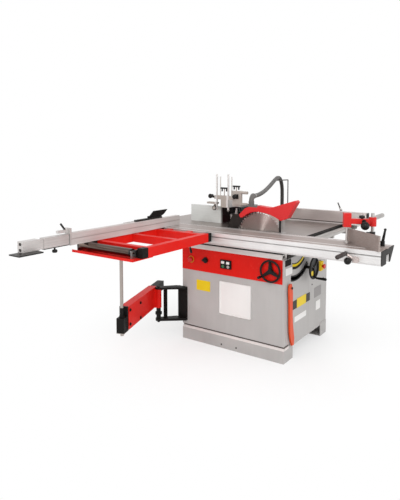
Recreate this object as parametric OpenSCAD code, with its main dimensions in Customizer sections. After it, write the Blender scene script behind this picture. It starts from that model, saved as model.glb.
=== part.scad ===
// Sliding-table panel saw with a spindle moulder, seen as one free-standing machine.
// +X runs along the slide to the operator's end, +Y to the rear, +Z up.
// The origin is on the floor, midway between the four floor bolts.

/* [Cabinet] */
// Length of the cabinet along the slide
cab_l = 842; // [830:1:870]
// Depth of the cabinet across the slide
cab_d = 748; // [740:1:780]
// Drop from the table's top to the cabinet's upper edge
cab_drop = 148; // [142:1:160]
// Thickness of the sheet steel
sheet = 3; // [2:0.5:4]
// Depth of the front foot
foot_front = 140; // [110:1:180]
// Depth of the rear foot
foot_rear = 116; // [90:1:160]
// Height of the feet
foot_h = 102; // [95:1:110]
// Height of the fork gap under the side panels
fork_gap = 85; // [60:1:92]
// Height of the red band on the front
band_h = 165; // [150:1:180]
// Diameter of the floor bolt holes
floor_bolt_d = 13; // [9:0.5:18]

/* [Table] */
// Height of the table's top
table_h = 850; // [840:1:860]
// Thickness of the table's plate
table_plate = 12; // [8:0.5:14]
// Depth of the table's rim
table_rim = 40; // [30:1:44]
// End of the table at the operator's side
table_right = 499; // [480:1:505]
// End of the table at the outfeed side
table_left = -830; // [-900:1:-760]
// Rear edge of the table
table_rear = 560; // [530:1:575]

/* [Saw] */
// Plane of the upright blade
blade_y = -194; // [-197:0.5:-191]
// Centre of the blade along the slide
blade_x = 135; // [125:1:145]
// Diameter of the blade
blade_d = 350; // [300:1:356]
// Number of teeth
teeth = 48; // [24:4:72]
// Width of the cut
kerf = 3.2; // [2.6:0.1:3.6]
// Depth of the arbor below the table, blade fully raised
arbor_drop = 40; // [38:0.5:44]
// Bore of the blade
arbor_d = 30; // [25:1:32]
// Travel of the blade's height
rise_travel = 80; // [60:1:82]

/* [Slide] */
// Length of the carriage
slide_l = 2000; // [1800:10:2200]
// Operator end of the carriage at rest
slide_right = 1063; // [1050:1:1100]
// Front face of the carriage
slide_front = -474; // [-480:1:-468]
// Gap between the carriage and the table
slide_gap = 6; // [4:0.5:8]
// Height of the carriage
slide_h = 85; // [80:1:88]

/* [Outrigger] */
// Face of the near beam
rig_near = -91; // [-110:1:-80]
// Outer face of the far beam
rig_far = -560; // [-575:1:-556]
// Outer end of the beams
rig_out = -1173; // [-1200:1:-1150]
// Width of the beam's tube
rig_w = 40; // [30:1:44]
// Height of the beam's tube
rig_h = 60; // [50:1:64]
// Diameter of the roller
roller_d = 50; // [40:1:54]

/* [Fences] */
// Height of the crosscut fence
cross_h = 74; // [64:1:84]
// Width of the crosscut fence
cross_w = 40; // [38:1:44]
// Height of the rip fence
rip_h = 98; // [80:1:110]
// Face of the rip fence at rest
rip_y = 450; // [430:1:470]
// Diameter of the rip fence's guide bar
rip_bar_d = 40; // [36:1:42]

/* [Arm] */
// Height of the swing arm's box
arm_h = 155; // [140:1:160]
// Width of the swing arm's box
arm_w = 60; // [56:1:70]
// Diameter of the chrome post
post_d = 22; // [16:1:30]

/* [Dust] */
// Outer diameter of the dust hose
hose_d = 32; // [28:1:34]

/* [Hidden] */
$fn = 48;

// Running clearance between pieces that slide or turn
run = 0.4;
// Air under pieces that rest on a slideway without touching it
lift = 0.6;
T = table_h;

// Cabinet
cab_top = T - cab_drop;
cab_x = cab_l/2;
cab_y = cab_d/2;
pane_x = cab_x - sheet;
front_y = -cab_y;
band_y = front_y - sheet;
column_wrap = [front_y, front_y + 94];
plinth_in = 11;
plinth_gap = 14;
floor_x = cab_x - 51;
floor_bolts = [-310, 310];
table_under = T - table_plate;
// Controls on the front: place along X, height, bore
front_controls = [[-339, cab_top - 86, 18], [-208, cab_top - 77, 14],
  [-53, cab_top - 100, 16], [-10, cab_top - 100, 16]];
side_stop = [215, cab_top - 145];
stop_box_x = [pane_x, pane_x + 26];
stick_peg = [-305, 505];

// Slide
table_front = blade_y - 14;
slide_in = table_front - slide_gap;
slide_low = T - slide_h;
slide_x0 = slide_right - slide_l;
cap_t = 5;
channel_h = 50;
rail_y = [-377, -313];
channel_y = [rail_y[0] - 3, rail_y[1] + 3];
beam_h = 33;
beam_x = [-cab_x, cab_x - 16];
face_slot_z = T - 28;
top_slots = [slide_front + 58, -258];

// Saw unit: heights and depths are counted from the line where the blade meets the table
blade_r = blade_d/2;
knife_gap = 6;
knife_top = 110;
insert_x = [-160, 330];
insert_y = [table_front, blade_y + 34];
insert_t = 5;
slot_y = [blade_y - 9, blade_y + 6];
rail_r = 212;
tongue = [192, 204];
sector = [186, 216];
side_r = [blade_x + 155, blade_x + 173];
side_l = [blade_x - 253, blade_x - 235];
step_w = 10;
ring_w = 12;
rail_t = 15;
rail_rx = [side_r[1] + step_w + ring_w + run, side_r[1] + step_w + ring_w + run + rail_t];
rail_lx = [side_l[0] - step_w - ring_w - run - rail_t, side_l[0] - step_w - ring_w - run];
groove = 8.5;
pillar_x = [rail_rx[1] + 8, pane_x - 1];
worm_x = side_r[1] + step_w + ring_w/2;
worm_z = -sector[1] - 15;
tilt_shaft_d = 16;
column_x = 95;
column_y = 45;
column_d = 25;
web_y = [30, 68];
cradle_z = -235;
shaft_r = 300;
shaft_rest = 32;
rise_shaft_d = 20;
rise_y = shaft_r*sin(shaft_rest);
rise_z = -shaft_r*cos(shaft_rest);
screw_x = blade_x + 103;
screw_d = 18;
flange_r = 25;
flange_t = 8;
pulley_y = [90, 118];
arbor_pulley_r = 22;
motor_pulley_r = 40;
motor_z = -170;
motor_d = 150;
belt_t = 3.2;

// Moulder
mould_x = -208;
mould_y = 60;
ring_d = 180;
quill_d = 80;
spindle_d = 35;
hood_x = [mould_x - 92, mould_x + 92];
hood_y = [-31, 230];
hood_top = T + 135;

// Swing arm, drawn along +X from its hinge
hinge = [-550, -506];
arm_turn = -69.7;
arm_top = 400;
arm_low = arm_top - arm_h;
arm_l = 500;
arm_wall = 4;
box_y = [-24 - arm_w, -24];
post_u = 545;
lug_t = 15;

// Outrigger and crosscut fence
rig_in = -514;
rig_low = T - rig_h;
rig_wall = 3;
clamp_hook = [-292, -252];
cap_len = 50;
rig_end = rig_out - 12 + cap_len;
near_x = [rig_near - rig_w, rig_near];
far_x = [rig_far, rig_far + rig_w];
roller_y = rig_out - 39;
roller_z = T - roller_d/2 - 0.5;
roller_x = [far_x[0] - 36, near_x[0] - 14];
tray_far = roller_x[0] - 10;
cross_x = [-511 - cross_w, -511];
cross_z = [T + lift, T + lift + cross_h - 0.6];
cross_y = [-1353, -296];
cross_pivot = -540;
pivot_d = 16;
tube_fit = 0.3;
tube_x0 = [cross_x[0] + 4 + tube_fit, cross_x[1] - 4 - tube_fit];
tube_z0 = [cross_z[0] + 9 + tube_fit, cross_z[1] - 10 - tube_fit];
flip_axis = [(cross_x[0] + cross_x[1])/2, cross_z[1] + 20];

// Slide fittings
post_at = [945, -258];
rod_at = [814, -337];
mitre_at = [1030, -345];
mitre_line = [[815, -290], [1055, -480]];

// Rip fence
bar_at = [550, T - 25];
bar_far = 1400;
rip_x = [20, 700];
rip_w = 42;
rip_slot_z = T + 52;
rip_body = [rip_y + rip_w + run, rip_y + rip_w + 70];

// Dust hose: elbow on the guard, hanger at the rear, port behind the cabinet
port_x = 65;
elbow_r = 36;
elbow_z = T + 240;
hose_turn = 101;
hose_end_y = 470;
hose_sides = 10;
hose_route = [
  [56, -148, 1090], [42, -76, 1090], [27, 2, 1093], [8, 100, 1105], [-11, 198, 1125],
  [-30, 296, 1150], [-46, 374, 1172], [-57, 433, 1187], [-65, 472, 1193], [-75, 524, 1190],
  [-84, 570, 1172], [-91, 604, 1140], [-94, 622, 1098], [-95, 628, 1050], [-95, 628, 960],
  [-95, 628, 850], [-95, 628, 740], [-95, 628, 630], [-95, 625, 560], [-95, 612, 498],
  [-95, 586, 446], [-95, 550, 414], [-95, 510, 401], [-95, 470, 400]];
stand_at = [-23, 590];
stand_top = 1172;

// Box between two corners
module slab(x, y, z) {
  translate([x[0], y[0], z[0]])
    cube([x[1] - x[0], y[1] - y[0], z[1] - z[0]]);
}
// Round bars along an axis
module bar_x(x, y, z, d) {
  translate([x[0], y, z]) rotate([0, 90, 0]) cylinder(d = d, h = x[1] - x[0]);
}
module bar_y(y, x, z, d) {
  translate([x, y[0], z]) rotate([-90, 0, 0]) cylinder(d = d, h = y[1] - y[0]);
}
module bar_z(z, x, y, d) {
  translate([x, y, z[0]]) cylinder(d = d, h = z[1] - z[0]);
}
// Outlines drawn in YZ, XZ or XY and given a thickness along the third axis
module plate_x(x) {
  translate([x[0], 0, 0]) rotate([90, 0, 90]) linear_extrude(x[1] - x[0]) children();
}
module plate_y(y) {
  translate([0, y[1], 0]) rotate([90, 0, 0]) linear_extrude(y[1] - y[0]) children();
}
module plate_z(z) {
  translate([0, 0, z[0]]) linear_extrude(z[1] - z[0]) children();
}
// Points of an arc about a centre
function arc(r, from, to, n, c = [0, 0]) = [for (i = [0:n])
  let (a = from + (to - from)*i/n) [c[0] + r*cos(a), c[1] + r*sin(a)]];
// Part of a ring about the tilt line, angles from straight down towards the rear
function tilt_ring(r, from, to) =
  concat(arc(r[0], from - 90, to - 90, 16), arc(r[1], to - 90, from - 90, 16));
// Place of the saw unit: drawn about the tilt line
module on_tilt() {
  translate([0, blade_y, T]) children();
}
// Slot with an undercut head, open along +Y of the drawing
module t_slot(neck, head, deep, high) {
  translate([-neck/2, -deep - 0.01]) square([neck, deep + 1]);
  translate([-head/2, -deep - high]) square([head, high]);
}
// Rectangular tubes
module tube_y(x, y, z, wall) {
  difference() {
    slab(x, y, z);
    slab([x[0] + wall, x[1] - wall], [y[0] - 1, y[1] + 1], [z[0] + wall, z[1] - wall]);
  }
}
module tube_x(x, y, z, wall) {
  difference() {
    slab(x, y, z);
    slab([x[0] - 1, x[1] + 1], [y[0] + wall, y[1] - wall], [z[0] + wall, z[1] - wall]);
  }
}
// Three-spoke handwheel about +Z with its crank handle on the upper side
module handwheel(d, crank, turn) {
  rim = 14;
  dish = 16;
  r = (d - rim)/2;
  rotate_extrude() translate([r, dish]) circle(d = rim);
  cylinder(d = 34, h = dish + 8);
  for (i = [0:2]) rotate([0, 0, 120*i + turn]) translate([0, 0, dish/2 + 4])
    rotate([0, 84, 0]) cylinder(d1 = 16, d2 = 11, h = r);
  rotate([0, 0, turn]) translate([r, 0, dish]) {
    cylinder(d = 10, h = crank - 4);
    translate([0, 0, 14]) cylinder(d1 = 15, d2 = 20, h = crank - 24);
    translate([0, 0, crank - 10]) sphere(d = 20);
  }
}
// Clamping lever about +Z: a hub with an arm that leans out
module clamp_handle(hub, high, lean, reach) {
  cylinder(d = hub, h = high);
  translate([0, 0, high - hub/3]) rotate([0, lean, 0]) {
    cylinder(d1 = hub*0.7, d2 = hub*0.45, h = reach);
    translate([0, 0, reach]) sphere(d = hub*0.6);
  }
}
// Mushroom head on its stem, pressed along -Z
module stop_mushroom(d, stem) {
  cylinder(d = 16, h = stem + 1);
  translate([0, 0, stem]) cylinder(d1 = 26, d2 = d, h = 8);
  translate([0, 0, stem + 8]) cylinder(d1 = d, d2 = d - 10, h = 6);
}

module cabinet_shell() color("#b9b4b0") {
  base = foot_h + plinth_gap;
  in_y = front_y + plinth_in;
  difference() {
    union() {
      for (x = [[pane_x - sheet, pane_x], [-pane_x, sheet - pane_x]]) {
        slab(x, [in_y, cab_y], [foot_h, cab_top]);
        slab(x, [front_y + foot_front, cab_y - foot_rear], [fork_gap, foot_h + 1]);
      }
      for (x = [[pane_x - 1, cab_x], [-cab_x, 1 - pane_x]])
        slab(x, column_wrap, [base, cab_top]);
      slab([-cab_x, cab_x], [front_y, front_y + sheet], [base, cab_top]);
      slab([-pane_x, pane_x], [front_y, in_y + sheet], [base, base + sheet]);
      slab([-pane_x, pane_x], [in_y, in_y + sheet], [foot_h, base + 1]);
      slab([-pane_x, pane_x], [in_y, cab_y], [foot_h, foot_h + sheet]);
      slab([-pane_x, pane_x], [cab_y - sheet, cab_y], [foot_h, cab_top]);
      // The sides and the back reach up to the ribs of the table
      for (x = [[pane_x - sheet, pane_x], [-pane_x, sheet - pane_x]])
        slab(x, [blade_y + 4, cab_y], [cab_top - 1, T - table_rim + 8]);
      slab([-pane_x, pane_x], [cab_y - sheet, cab_y], [cab_top - 1, T - table_rim + 8]);
      // Posts in the front corners carry the beam of the slide
      for (x = [pillar_x, [-pillar_x[1], -pillar_x[0]]])
        slab(x, [front_y + 20, front_y + 60], [foot_h + 1, cab_top]);
      // Pillars on the side panels carry the table
      for (x = [pillar_x, [-pillar_x[1], -pillar_x[0]]]) {
        slab(x, [blade_y + 4, blade_y + 44], [cab_top - 52, table_under]);
        slab(x, [cab_y - 43, cab_y - 1], [foot_h + 1, table_under]);
      }
    }
    on_tilt() plate_x([pane_x - 10, cab_x + 10])
      polygon(tilt_ring([shaft_r - 14, shaft_r + 14], shaft_rest - 47.3, shaft_rest + 5));
    bar_y([front_y - 1, front_y + sheet + 1], worm_x, T + worm_z, tilt_shaft_d + 2*run);
    for (p = front_controls) bar_y([front_y - 1, front_y + sheet + 1], p[0], p[1], p[2]);
    bar_x([pane_x - 10, pane_x + 1], side_stop[0], side_stop[1], 18);
    bar_y([cab_y - sheet - 1, cab_y + 1], 30, 400, 94);
  }
}

module base_feet() color("#aaa5a1") {
  wall = 5;
  slope_h = 16;
  feet = [[front_y, front_y + foot_front], [cab_y - foot_rear, cab_y]];
  difference() {
    union() {
      // The front foot has a sloped upper edge
      plate_x([-cab_x, cab_x]) polygon([[feet[0][0], 0], [feet[0][1], 0], [feet[0][1], foot_h],
        [feet[0][0] + plinth_in - 1, foot_h], [feet[0][0], foot_h - slope_h]]);
      slab([-cab_x, cab_x], feet[1], [0, foot_h]);
    }
    slab([wall - cab_x, cab_x - wall], [feet[0][0] + wall, feet[0][1] + 1], [wall, foot_h - slope_h - wall]);
    slab([wall - cab_x, cab_x - wall], [feet[1][0] - 1, feet[1][1] - wall], [wall, foot_h - wall]);
    for (x = [-floor_x, floor_x], y = floor_bolts) bar_z([-1, wall + 1], x, y, floor_bolt_d);
  }
}

module front_band() color("#d8251d") difference() {
  slab([-cab_x, cab_x - 15], [band_y, front_y], [cab_top - band_h, cab_top]);
  bar_y([band_y - 1, front_y + 1], worm_x, T + worm_z, tilt_shaft_d + 2*run);
  for (p = front_controls) bar_y([band_y - 1, front_y + 1], p[0], p[1], p[2]);
}

module slide_beam() color("#c9c7c6") {
  foot = [band_y - 3, rail_y[1] + 1];
  top = cab_top + beam_h;
  difference() {
    union() {
      slab(beam_x, foot, [cab_top, top]);
      slab(beam_x, rail_y, [top - 1, slide_low + channel_h - run]);
    }
    slab([beam_x[0] - 1, beam_x[1] + 1], [foot[0] + 5, foot[1] - 22], [cab_top + 6, top - 6]);
    slab([beam_x[0] - 1, beam_x[1] + 1], [rail_y[0] + 8, rail_y[1] - 8], [top + 8, slide_low + 38]);
    // Relief under the rail for the tilted blade and its sector
    slab([-10, rail_rx[1] - 3], [foot[1] - 44, foot[1] + 1], [cab_top - 1, top]);
    for (y = rail_y) bar_x([beam_x[0] - 1, beam_x[1] + 1], y, slide_low + 22, 12);
  }
}

module main_table() color("#8d8580") difference() {
  union() {
    slab([table_left, table_right], [table_front, table_rear], [table_under, T]);
    for (x = [[table_left, table_left + 14], [table_right - 14, table_right]])
      slab(x, [table_front, table_rear], [T - table_rim, table_under + 1]);
    slab([table_left, table_right], [table_rear - 14, table_rear], [T - table_rim, table_under + 1]);
    for (x = [[table_left, insert_x[0] - 10], [rail_rx[1] + 15, table_right]])
      slab(x, [table_front, table_front + 14], [T - table_rim, table_under + 1]);
    // Ribs under the plate
    for (x = [-700, -570, -440, 440])
      slab([x - 5, x + 5], [table_front, table_rear], [T - table_rim + 8, table_under + 1]);
    for (y = [200, 300])
      slab([table_left, table_right], [y - 5, y + 5], [T - table_rim + 8, table_under + 1]);
    bar_z([table_under - 10, table_under + 1], mould_x, mould_y, ring_d + 50);
  }
  slab(insert_x, [insert_y[0] - 1, insert_y[1]], [T - insert_t, T + 1]);
  slab([insert_x[0] + 8, insert_x[1] - 8], [insert_y[0] - 1, insert_y[1] - 8], [T - table_rim, T]);
  bar_z([T - table_rim, T + 1], mould_x, mould_y, ring_d - 16);
  bar_z([T - 6, T + 1], mould_x, mould_y, ring_d);
}

module table_inserts() color("#a7a3a0") {
  difference() {
    slab([insert_x[0] + run, insert_x[1] - run], [insert_y[0], insert_y[1] - run], [T - insert_t, T]);
    slab([insert_x[0] + 10, insert_x[1] - 8], slot_y, [T - insert_t - 1, T + 1]);
  }
  difference() {
    bar_z([T - 6, T], mould_x, mould_y, ring_d - 2*run);
    bar_z([T - 7, T + 1], mould_x, mould_y, 130);
  }
}

module trunnion_rails() color("#6e6b68") on_tilt() {
  outline = concat([[-20, -40], [-104, -124], [-104, -153]], arc(rail_r, -133.8, -15, 24),
    [[140, -40], [140, -table_plate], [10, -table_plate], [10, -40]]);
  for (x = [rail_rx, rail_lx]) difference() {
    plate_x(x) polygon(outline);
    plate_x(x[0] > 0 ? [x[0] - 1, x[0] + groove] : [x[1] - groove, x[1] + 1])
      polygon(tilt_ring([tongue[0] - run, tongue[1] + run], -36.5, 66));
  }
  // Lugs that hold the worm
  for (y = [[-40, -28], [28, 40]]) difference() {
    union() {
      slab([rail_rx[0] - 18, rail_rx[1]], y, [worm_z - 16, -sector[1] - 3]);
      slab([rail_rx[0] + groove, rail_rx[1]], y, [worm_z, -190]);
    }
    bar_y([y[0] - 1, y[1] + 1], worm_x, worm_z, tilt_shaft_d + 2*run);
  }
}

module panel_trim() color("#26241f") {
  grille = [column_wrap[0] + 6, column_wrap[1] - 6];
  difference() {
    slab([cab_x, cab_x + 4], grille, [cab_top - 44, cab_top - 3]);
    for (i = [0:4])
      slab([cab_x + 1.5, cab_x + 5], [grille[0] + 6, grille[1] - 6],
        [cab_top - 39 + 7*i, cab_top - 36 + 7*i]);
  }
  // Lips of the tilt slot, and the dark strip of the scale above it
  on_tilt() difference() {
    plate_x([pane_x, pane_x + 2]) polygon(tilt_ring([shaft_r - 20, shaft_r + 20], -15.4, 40));
    plate_x([pane_x - 1, pane_x + 3]) polygon(tilt_ring([shaft_r - 11, shaft_r + 11], -16, 37));
  }
  on_tilt() plate_x([pane_x, pane_x + 2]) polygon(tilt_ring([220, 238], -17, 36));
  // Plate of the push buttons
  difference() {
    slab([-76, 13], [band_y - 10, band_y], [cab_top - 116, cab_top - 54]);
    for (i = [2, 3]) bar_y([band_y - 11, band_y + 1], front_controls[i][0], front_controls[i][1], 23);
  }
  // Box of the side stop
  difference() {
    slab(stop_box_x, [side_stop[0] - 26, side_stop[0] + 26], [side_stop[1] - 34, side_stop[1] + 34]);
    bar_x([stop_box_x[0] - 1, stop_box_x[1] + 1], side_stop[0], side_stop[1], 18);
  }
  // Peg of the push stick
  bar_x([cab_x, cab_x + 25], stick_peg[0], stick_peg[1], 8);
  bar_x([cab_x + 22, cab_x + 26], stick_peg[0], stick_peg[1], 16);
}

module stop_front() color("#c8201a")
  translate([front_controls[0][0], front_y + 12, front_controls[0][1]])
    rotate([90, 0, 0]) stop_mushroom(40, 26);

module stop_side() color("#c8201a")
  translate([pane_x - 10, side_stop[0], side_stop[1]]) rotate([0, 90, 0]) stop_mushroom(40, 46);

module selector_knob() color("#1d1b1a")
  translate([front_controls[1][0], front_y + 10, front_controls[1][1]]) rotate([90, 0, 0]) {
    face = 10 + sheet + run;
    cylinder(d = 12, h = face + 1);
    translate([0, 0, face]) cylinder(d = 42, h = 8);
    translate([-21, -7, face + 7]) cube([42, 14, 15]);
  }

module push_button(p) {
  translate([p[0], front_y + 8, p[1]]) rotate([90, 0, 0]) {
    cylinder(d = 14, h = 18);
    translate([0, 0, 8 + sheet + 4.5]) cylinder(d = 22, h = 8);
  }
}
module start_button() color("#3f8f46") push_button(front_controls[2]);
module off_button() color("#e8e6e2") push_button(front_controls[3]);

module push_stick() color("#e8641e") difference() {
  spine = [[-318, 534], [-315, 505], [-310, 460], [-308, 400], [-306, 330], [-302, 260],
           [-292, 195], [-280, 150], [-272, 104]];
  half = [13, 24, 26, 22, 21, 23, 27, 26, 13];
  n = len(spine) - 1;
  plate_x([cab_x + 8, cab_x + 20]) polygon(concat(
    [for (i = [0:n]) [spine[i][0] - half[i], spine[i][1]]],
    [for (i = [n:-1:0]) [spine[i][0] + half[i], spine[i][1]]]));
  bar_x([cab_x + 7, cab_x + 21], stick_peg[0], stick_peg[1], 10);
}

module rip_bar() color("#c4c1be") {
  bar_y([-200, bar_far], bar_at[0], bar_at[1], rip_bar_d);
  low = bar_at[1] - rip_bar_d/2;
  for (y = [-120, 140, 400, 530])
    slab([table_right, bar_at[0] + 6], [y - 14, y + 14], [low - 14, low + 3]);
  slab([table_right, table_right + 8], [table_front + 4, table_rear], [T - table_rim, T - 8]);
}
module rip_head() color("#9a9794") {
  difference() {
    union() {
      slab([440, bar_at[0] + 38], rip_body, [T + 1, T + 66]);
      slab([bar_at[0] - 34, bar_at[0] + 38], rip_body, [bar_at[1] - 14, T + 66]);
      slab([452, bar_at[0] + 30], [rip_body[0] + 12, rip_body[1] - 12], [T + 60, T + 80]);
    }
    bar_y([rip_body[0] - 1, rip_body[1] + 1], bar_at[0], bar_at[1], rip_bar_d + 2*run);
    slab([bar_at[0] - 16, bar_at[0] + 16], [rip_body[0] - 1, rip_body[1] + 1],
         [bar_at[1] - 40, bar_at[1]]);
  }
  // Key in the slot of the fence
  slab([470, 530], [rip_y + rip_w - 6, rip_body[0] + 1], [rip_slot_z - 4.5, rip_slot_z + 4.5]);
  slab([470, 530], [rip_y + rip_w - 11.5, rip_y + rip_w - 5.5], [rip_slot_z - 8.5, rip_slot_z + 8.5]);
}
module rip_fence() color("#bdb9b6") plate_x(rip_x) difference() {
  translate([rip_y, T + lift]) square([rip_w, rip_h]);
  translate([rip_y + 5, T + 6]) square([rip_w - 10, 32]);
  translate([rip_y + 5, T + 44]) square([18, rip_h - 52]);
  translate([rip_y + 28, T + 70]) square([9, rip_h - 82]);
  translate([rip_y + rip_w, rip_slot_z]) rotate(-90) t_slot(10, 18, 5, 7);
}
module rip_lever() color("#3a3836")
  translate([468, rip_body[0] + 35, T + 80 + run]) clamp_handle(20, 26, -24, 60);

module moulder_hood() color("#3b2024") {
  wall = 6;
  out_z = T + 68;
  difference() {
    union() {
      slab(hood_x, hood_y, [T, hood_top]);
      slab([hood_x[0] - 110, hood_x[0] + 1], [hood_y[0], hood_y[0] + 30], [T + 25, T + 110]);
      bar_y([hood_y[1] - 1, hood_y[1] + 45], mould_x, out_z, 104);
    }
    slab([hood_x[0] + wall, hood_x[1] - wall], [hood_y[0] - 1, hood_y[1] - wall], [T - 1, hood_top - wall]);
    bar_y([hood_y[1] - wall - 1, hood_y[1] + 46], mould_x, out_z, 96);
    slab([hood_x[0] - 102, hood_x[0] - 12], [hood_y[0] + 8, hood_y[0] + 31], [T + 33, T + 102]);
  }
}
module moulder_fence() color("#c6c8c4") plate_x([-580, -290]) difference() {
  y0 = hood_y[0] - run - 18;
  translate([y0, T + lift]) square([18, 134]);
  for (z = [T + 10, T + 74]) translate([y0 + 5, z]) square([8, 52]);
}
module pressure_unit() color("#a8a39f") {
  y = -100;
  // Bracket that stands on the hood, and the cross block in front of it
  slab([-250, -184], [y - 16, 60], [hood_top + run, T + 198]);
  slab([-310, -140], [y - 14, y + 14], [T + 196, T + 226]);
  for (x = [-295, -191]) bar_z([T + 112, T + 390], x, y, 15);
  for (x = [-262, -160]) bar_z([T + 224, T + 372], x, y, 9);
  slab([-148, -72], [y - 10, y + 10], [T + 150, T + 268]);
  bar_x([-140, -21], y, T + 256, 22);
  // Pressure shoes, with a nose roller on the left one
  slab([-377, -287], [y - 18, y + 18], [T + 158, T + 172]);
  bar_y([y - 16, y + 16], -313, T + 127, 26);
  slab([-320, -306], [y - 6, y + 6], [T + 127, T + 160]);
  slab([-132, -30], [y - 18, y + 18], [T + 164, T + 178]);
  translate([-191, y, T + 101]) cylinder(d1 = 4, d2 = 26, h = 16);
  // Clamping knobs
  for (p = [[-332, T + 220], [-113, T + 225]]) bar_y([y - 34, y - 8], p[0], p[1], 28);
  bar_x([-332, -300], y, T + 212, 16);
  bar_y([y - 10, y + 4], -332, T + 216, 12);
  for (p = [[-226, T + 275], [-118, T + 293]]) {
    bar_z([p[1] - 60, p[1] + 4], p[0], y, 8);
    slab([p[0] - 30, p[0] + 30], [y - 6, y + 6], [p[1] + 2, p[1] + 14]);
  }
}
module spindle_housing() color("#77736f") difference() {
  union() {
    bar_z([T - 290, table_under - 10], mould_x, mould_y, 108);
    bar_z([table_under - 25, table_under - 10], mould_x, mould_y, ring_d + 30);
    slab([mould_x - 30, mould_x + 30], [mould_y + 40, mould_y + 90], [T - 250, T - 150]);
  }
  bar_z([T - 291, T], mould_x, mould_y, quill_d + 2*run);
}
module spindle_quill() color("#8f8b88") difference() {
  bar_z([T - 310, T - 26], mould_x, mould_y, quill_d);
  bar_z([T - 311, T], mould_x, mould_y, spindle_d + 2*run);
}
module moulder_spindle() color("#b5b2af") translate([mould_x, mould_y, 0]) {
  bar_z([T - 380, T + 118], 0, 0, spindle_d);
  bar_z([T - 25, T - 10], 0, 0, 62);
  bar_z([T - 370, T - 320], 0, 0, 90);
  // Cutter block with two knives
  difference() {
    bar_z([T + 28, T + 68], 0, 0, 110);
    for (i = [0, 180]) rotate([0, 0, i]) slab([24, 60], [26, 60], [T + 27, T + 69]);
  }
  for (i = [0, 180]) rotate([0, 0, i]) slab([14, 25], [20, 56], [T + 30, T + 66]);
  bar_z([T + 68, T + 84], 0, 0, 56);
  bar_z([T + 84, T + 104], 0, 0, 44);
}

module hose_stand() color("#7d7b79") {
  d = 9;
  end = [-67, 482];
  span = end - stand_at;
  bar_z([T - table_rim + 2, stand_top], stand_at[0], stand_at[1], d);
  translate([stand_at[0], stand_at[1], stand_top]) sphere(d = d);
  translate([stand_at[0], stand_at[1], stand_top]) rotate([0, 90, atan2(span[1], span[0])])
    cylinder(d = d, h = norm(span));
  translate([end[0], end[1], stand_top]) sphere(d = d);
  // Foot on the rear edge of the table
  foot_x = [stand_at[0] - 16, stand_at[0] + 16];
  slab(foot_x, [table_rear, stand_at[1] + 10], [T - table_rim, T - table_rim + 8]);
  slab(foot_x, [table_rear, table_rear + 6], [T - table_rim, T - 12]);
}
module dust_manifold() color("#4b4947") difference() {
  union() {
    slab([-150, 110], [cab_y, cab_y + 60], [330, 470]);
    bar_y([cab_y + 59, hose_end_y], -95, 400, hose_d - 4);
    bar_y([cab_y + 59, cab_y + 120], 30, 400, 100);
  }
  slab([-144, 104], [cab_y - 1, cab_y + 54], [336, 464]);
  bar_y([cab_y + 50, cab_y + 121], 30, 400, 94);
  bar_y([cab_y + 50, hose_end_y - 4], -95, 400, hose_d - 10);
}

// The hose is one tube swept along its route
function unit(v) = v/norm(v);
function heading(p, i) = unit(p[min(i + 1, len(p) - 1)] - p[max(i - 1, 0)]);
function hose_ring(c, t) = let (u = unit(cross(t, [1, 0.2, 0.1])), w = cross(u, t))
  [for (k = [0:hose_sides - 1]) c + hose_d/2*(cos(360*k/hose_sides)*u + sin(360*k/hose_sides)*w)];
module dust_hose() color("#3c3d3e") {
  m = hose_sides;
  n = len(hose_route) - 1;
  points = [for (i = [0:n]) each hose_ring(hose_route[i], i == n ? [0, -1, 0] : heading(hose_route, i))];
  sides = [for (i = [0:n - 1], k = [0:m - 1])
    let (a = i*m + k, b = i*m + (k + 1) % m) [a, b, b + m, a + m]];
  near = [[for (k = [m - 1:-1:0]) k]];
  far = [[for (k = [0:m - 1]) n*m + k]];
  polyhedron(points = points, faces = concat(sides, near, far));
}

module arm_bracket() color("#1f1d1c") {
  low = 145;
  face = [-cab_x - 38, -cab_x + 44];
  reach = [[face[1], front_y - 9], [face[1], front_y - 20], [hinge[0] + 18, hinge[1] - 16],
           [hinge[0] - 20, hinge[1] + 12], [face[0] - 12, front_y - 9]];
  slab(face, [front_y - 10, front_y], [low, arm_top]);
  for (z = [[low, low + 18], [arm_top - lug_t, arm_top]]) {
    plate_z(z) polygon(reach);
    bar_z(z, hinge[0], hinge[1], 46);
  }
  slab([hinge[0] + 20, hinge[0] + 42], [hinge[1] + 34, hinge[1] + 54], [low, arm_top]);
  // Hinge pin with its collar
  bar_z([low - 12, arm_top + 6], hinge[0], hinge[1], 20);
  bar_z([low + 17, arm_low - run], hinge[0], hinge[1], 34);
  bar_z([low + 48, low + 66], hinge[0], hinge[1], 50);
}
module on_arm() {
  translate([hinge[0], hinge[1], 0]) rotate([0, 0, arm_turn]) children();
}
module swing_arm() color("#d0241c") on_arm() difference() {
  union() {
    slab([-20, arm_l], box_y, [arm_low, arm_top]);
    bar_z([arm_low, arm_top - lug_t - run], 0, 0, 44);
    slab([-20, 20], [box_y[1] - 1, -10], [arm_low, arm_top - lug_t - run]);
  }
  slab([-21, arm_l + 1], [box_y[0] + arm_wall, box_y[1] - arm_wall],
    [arm_low + arm_wall, arm_top - arm_wall]);
  bar_z([arm_low - 1, arm_top], 0, 0, 20 + 2*run);
}
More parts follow.
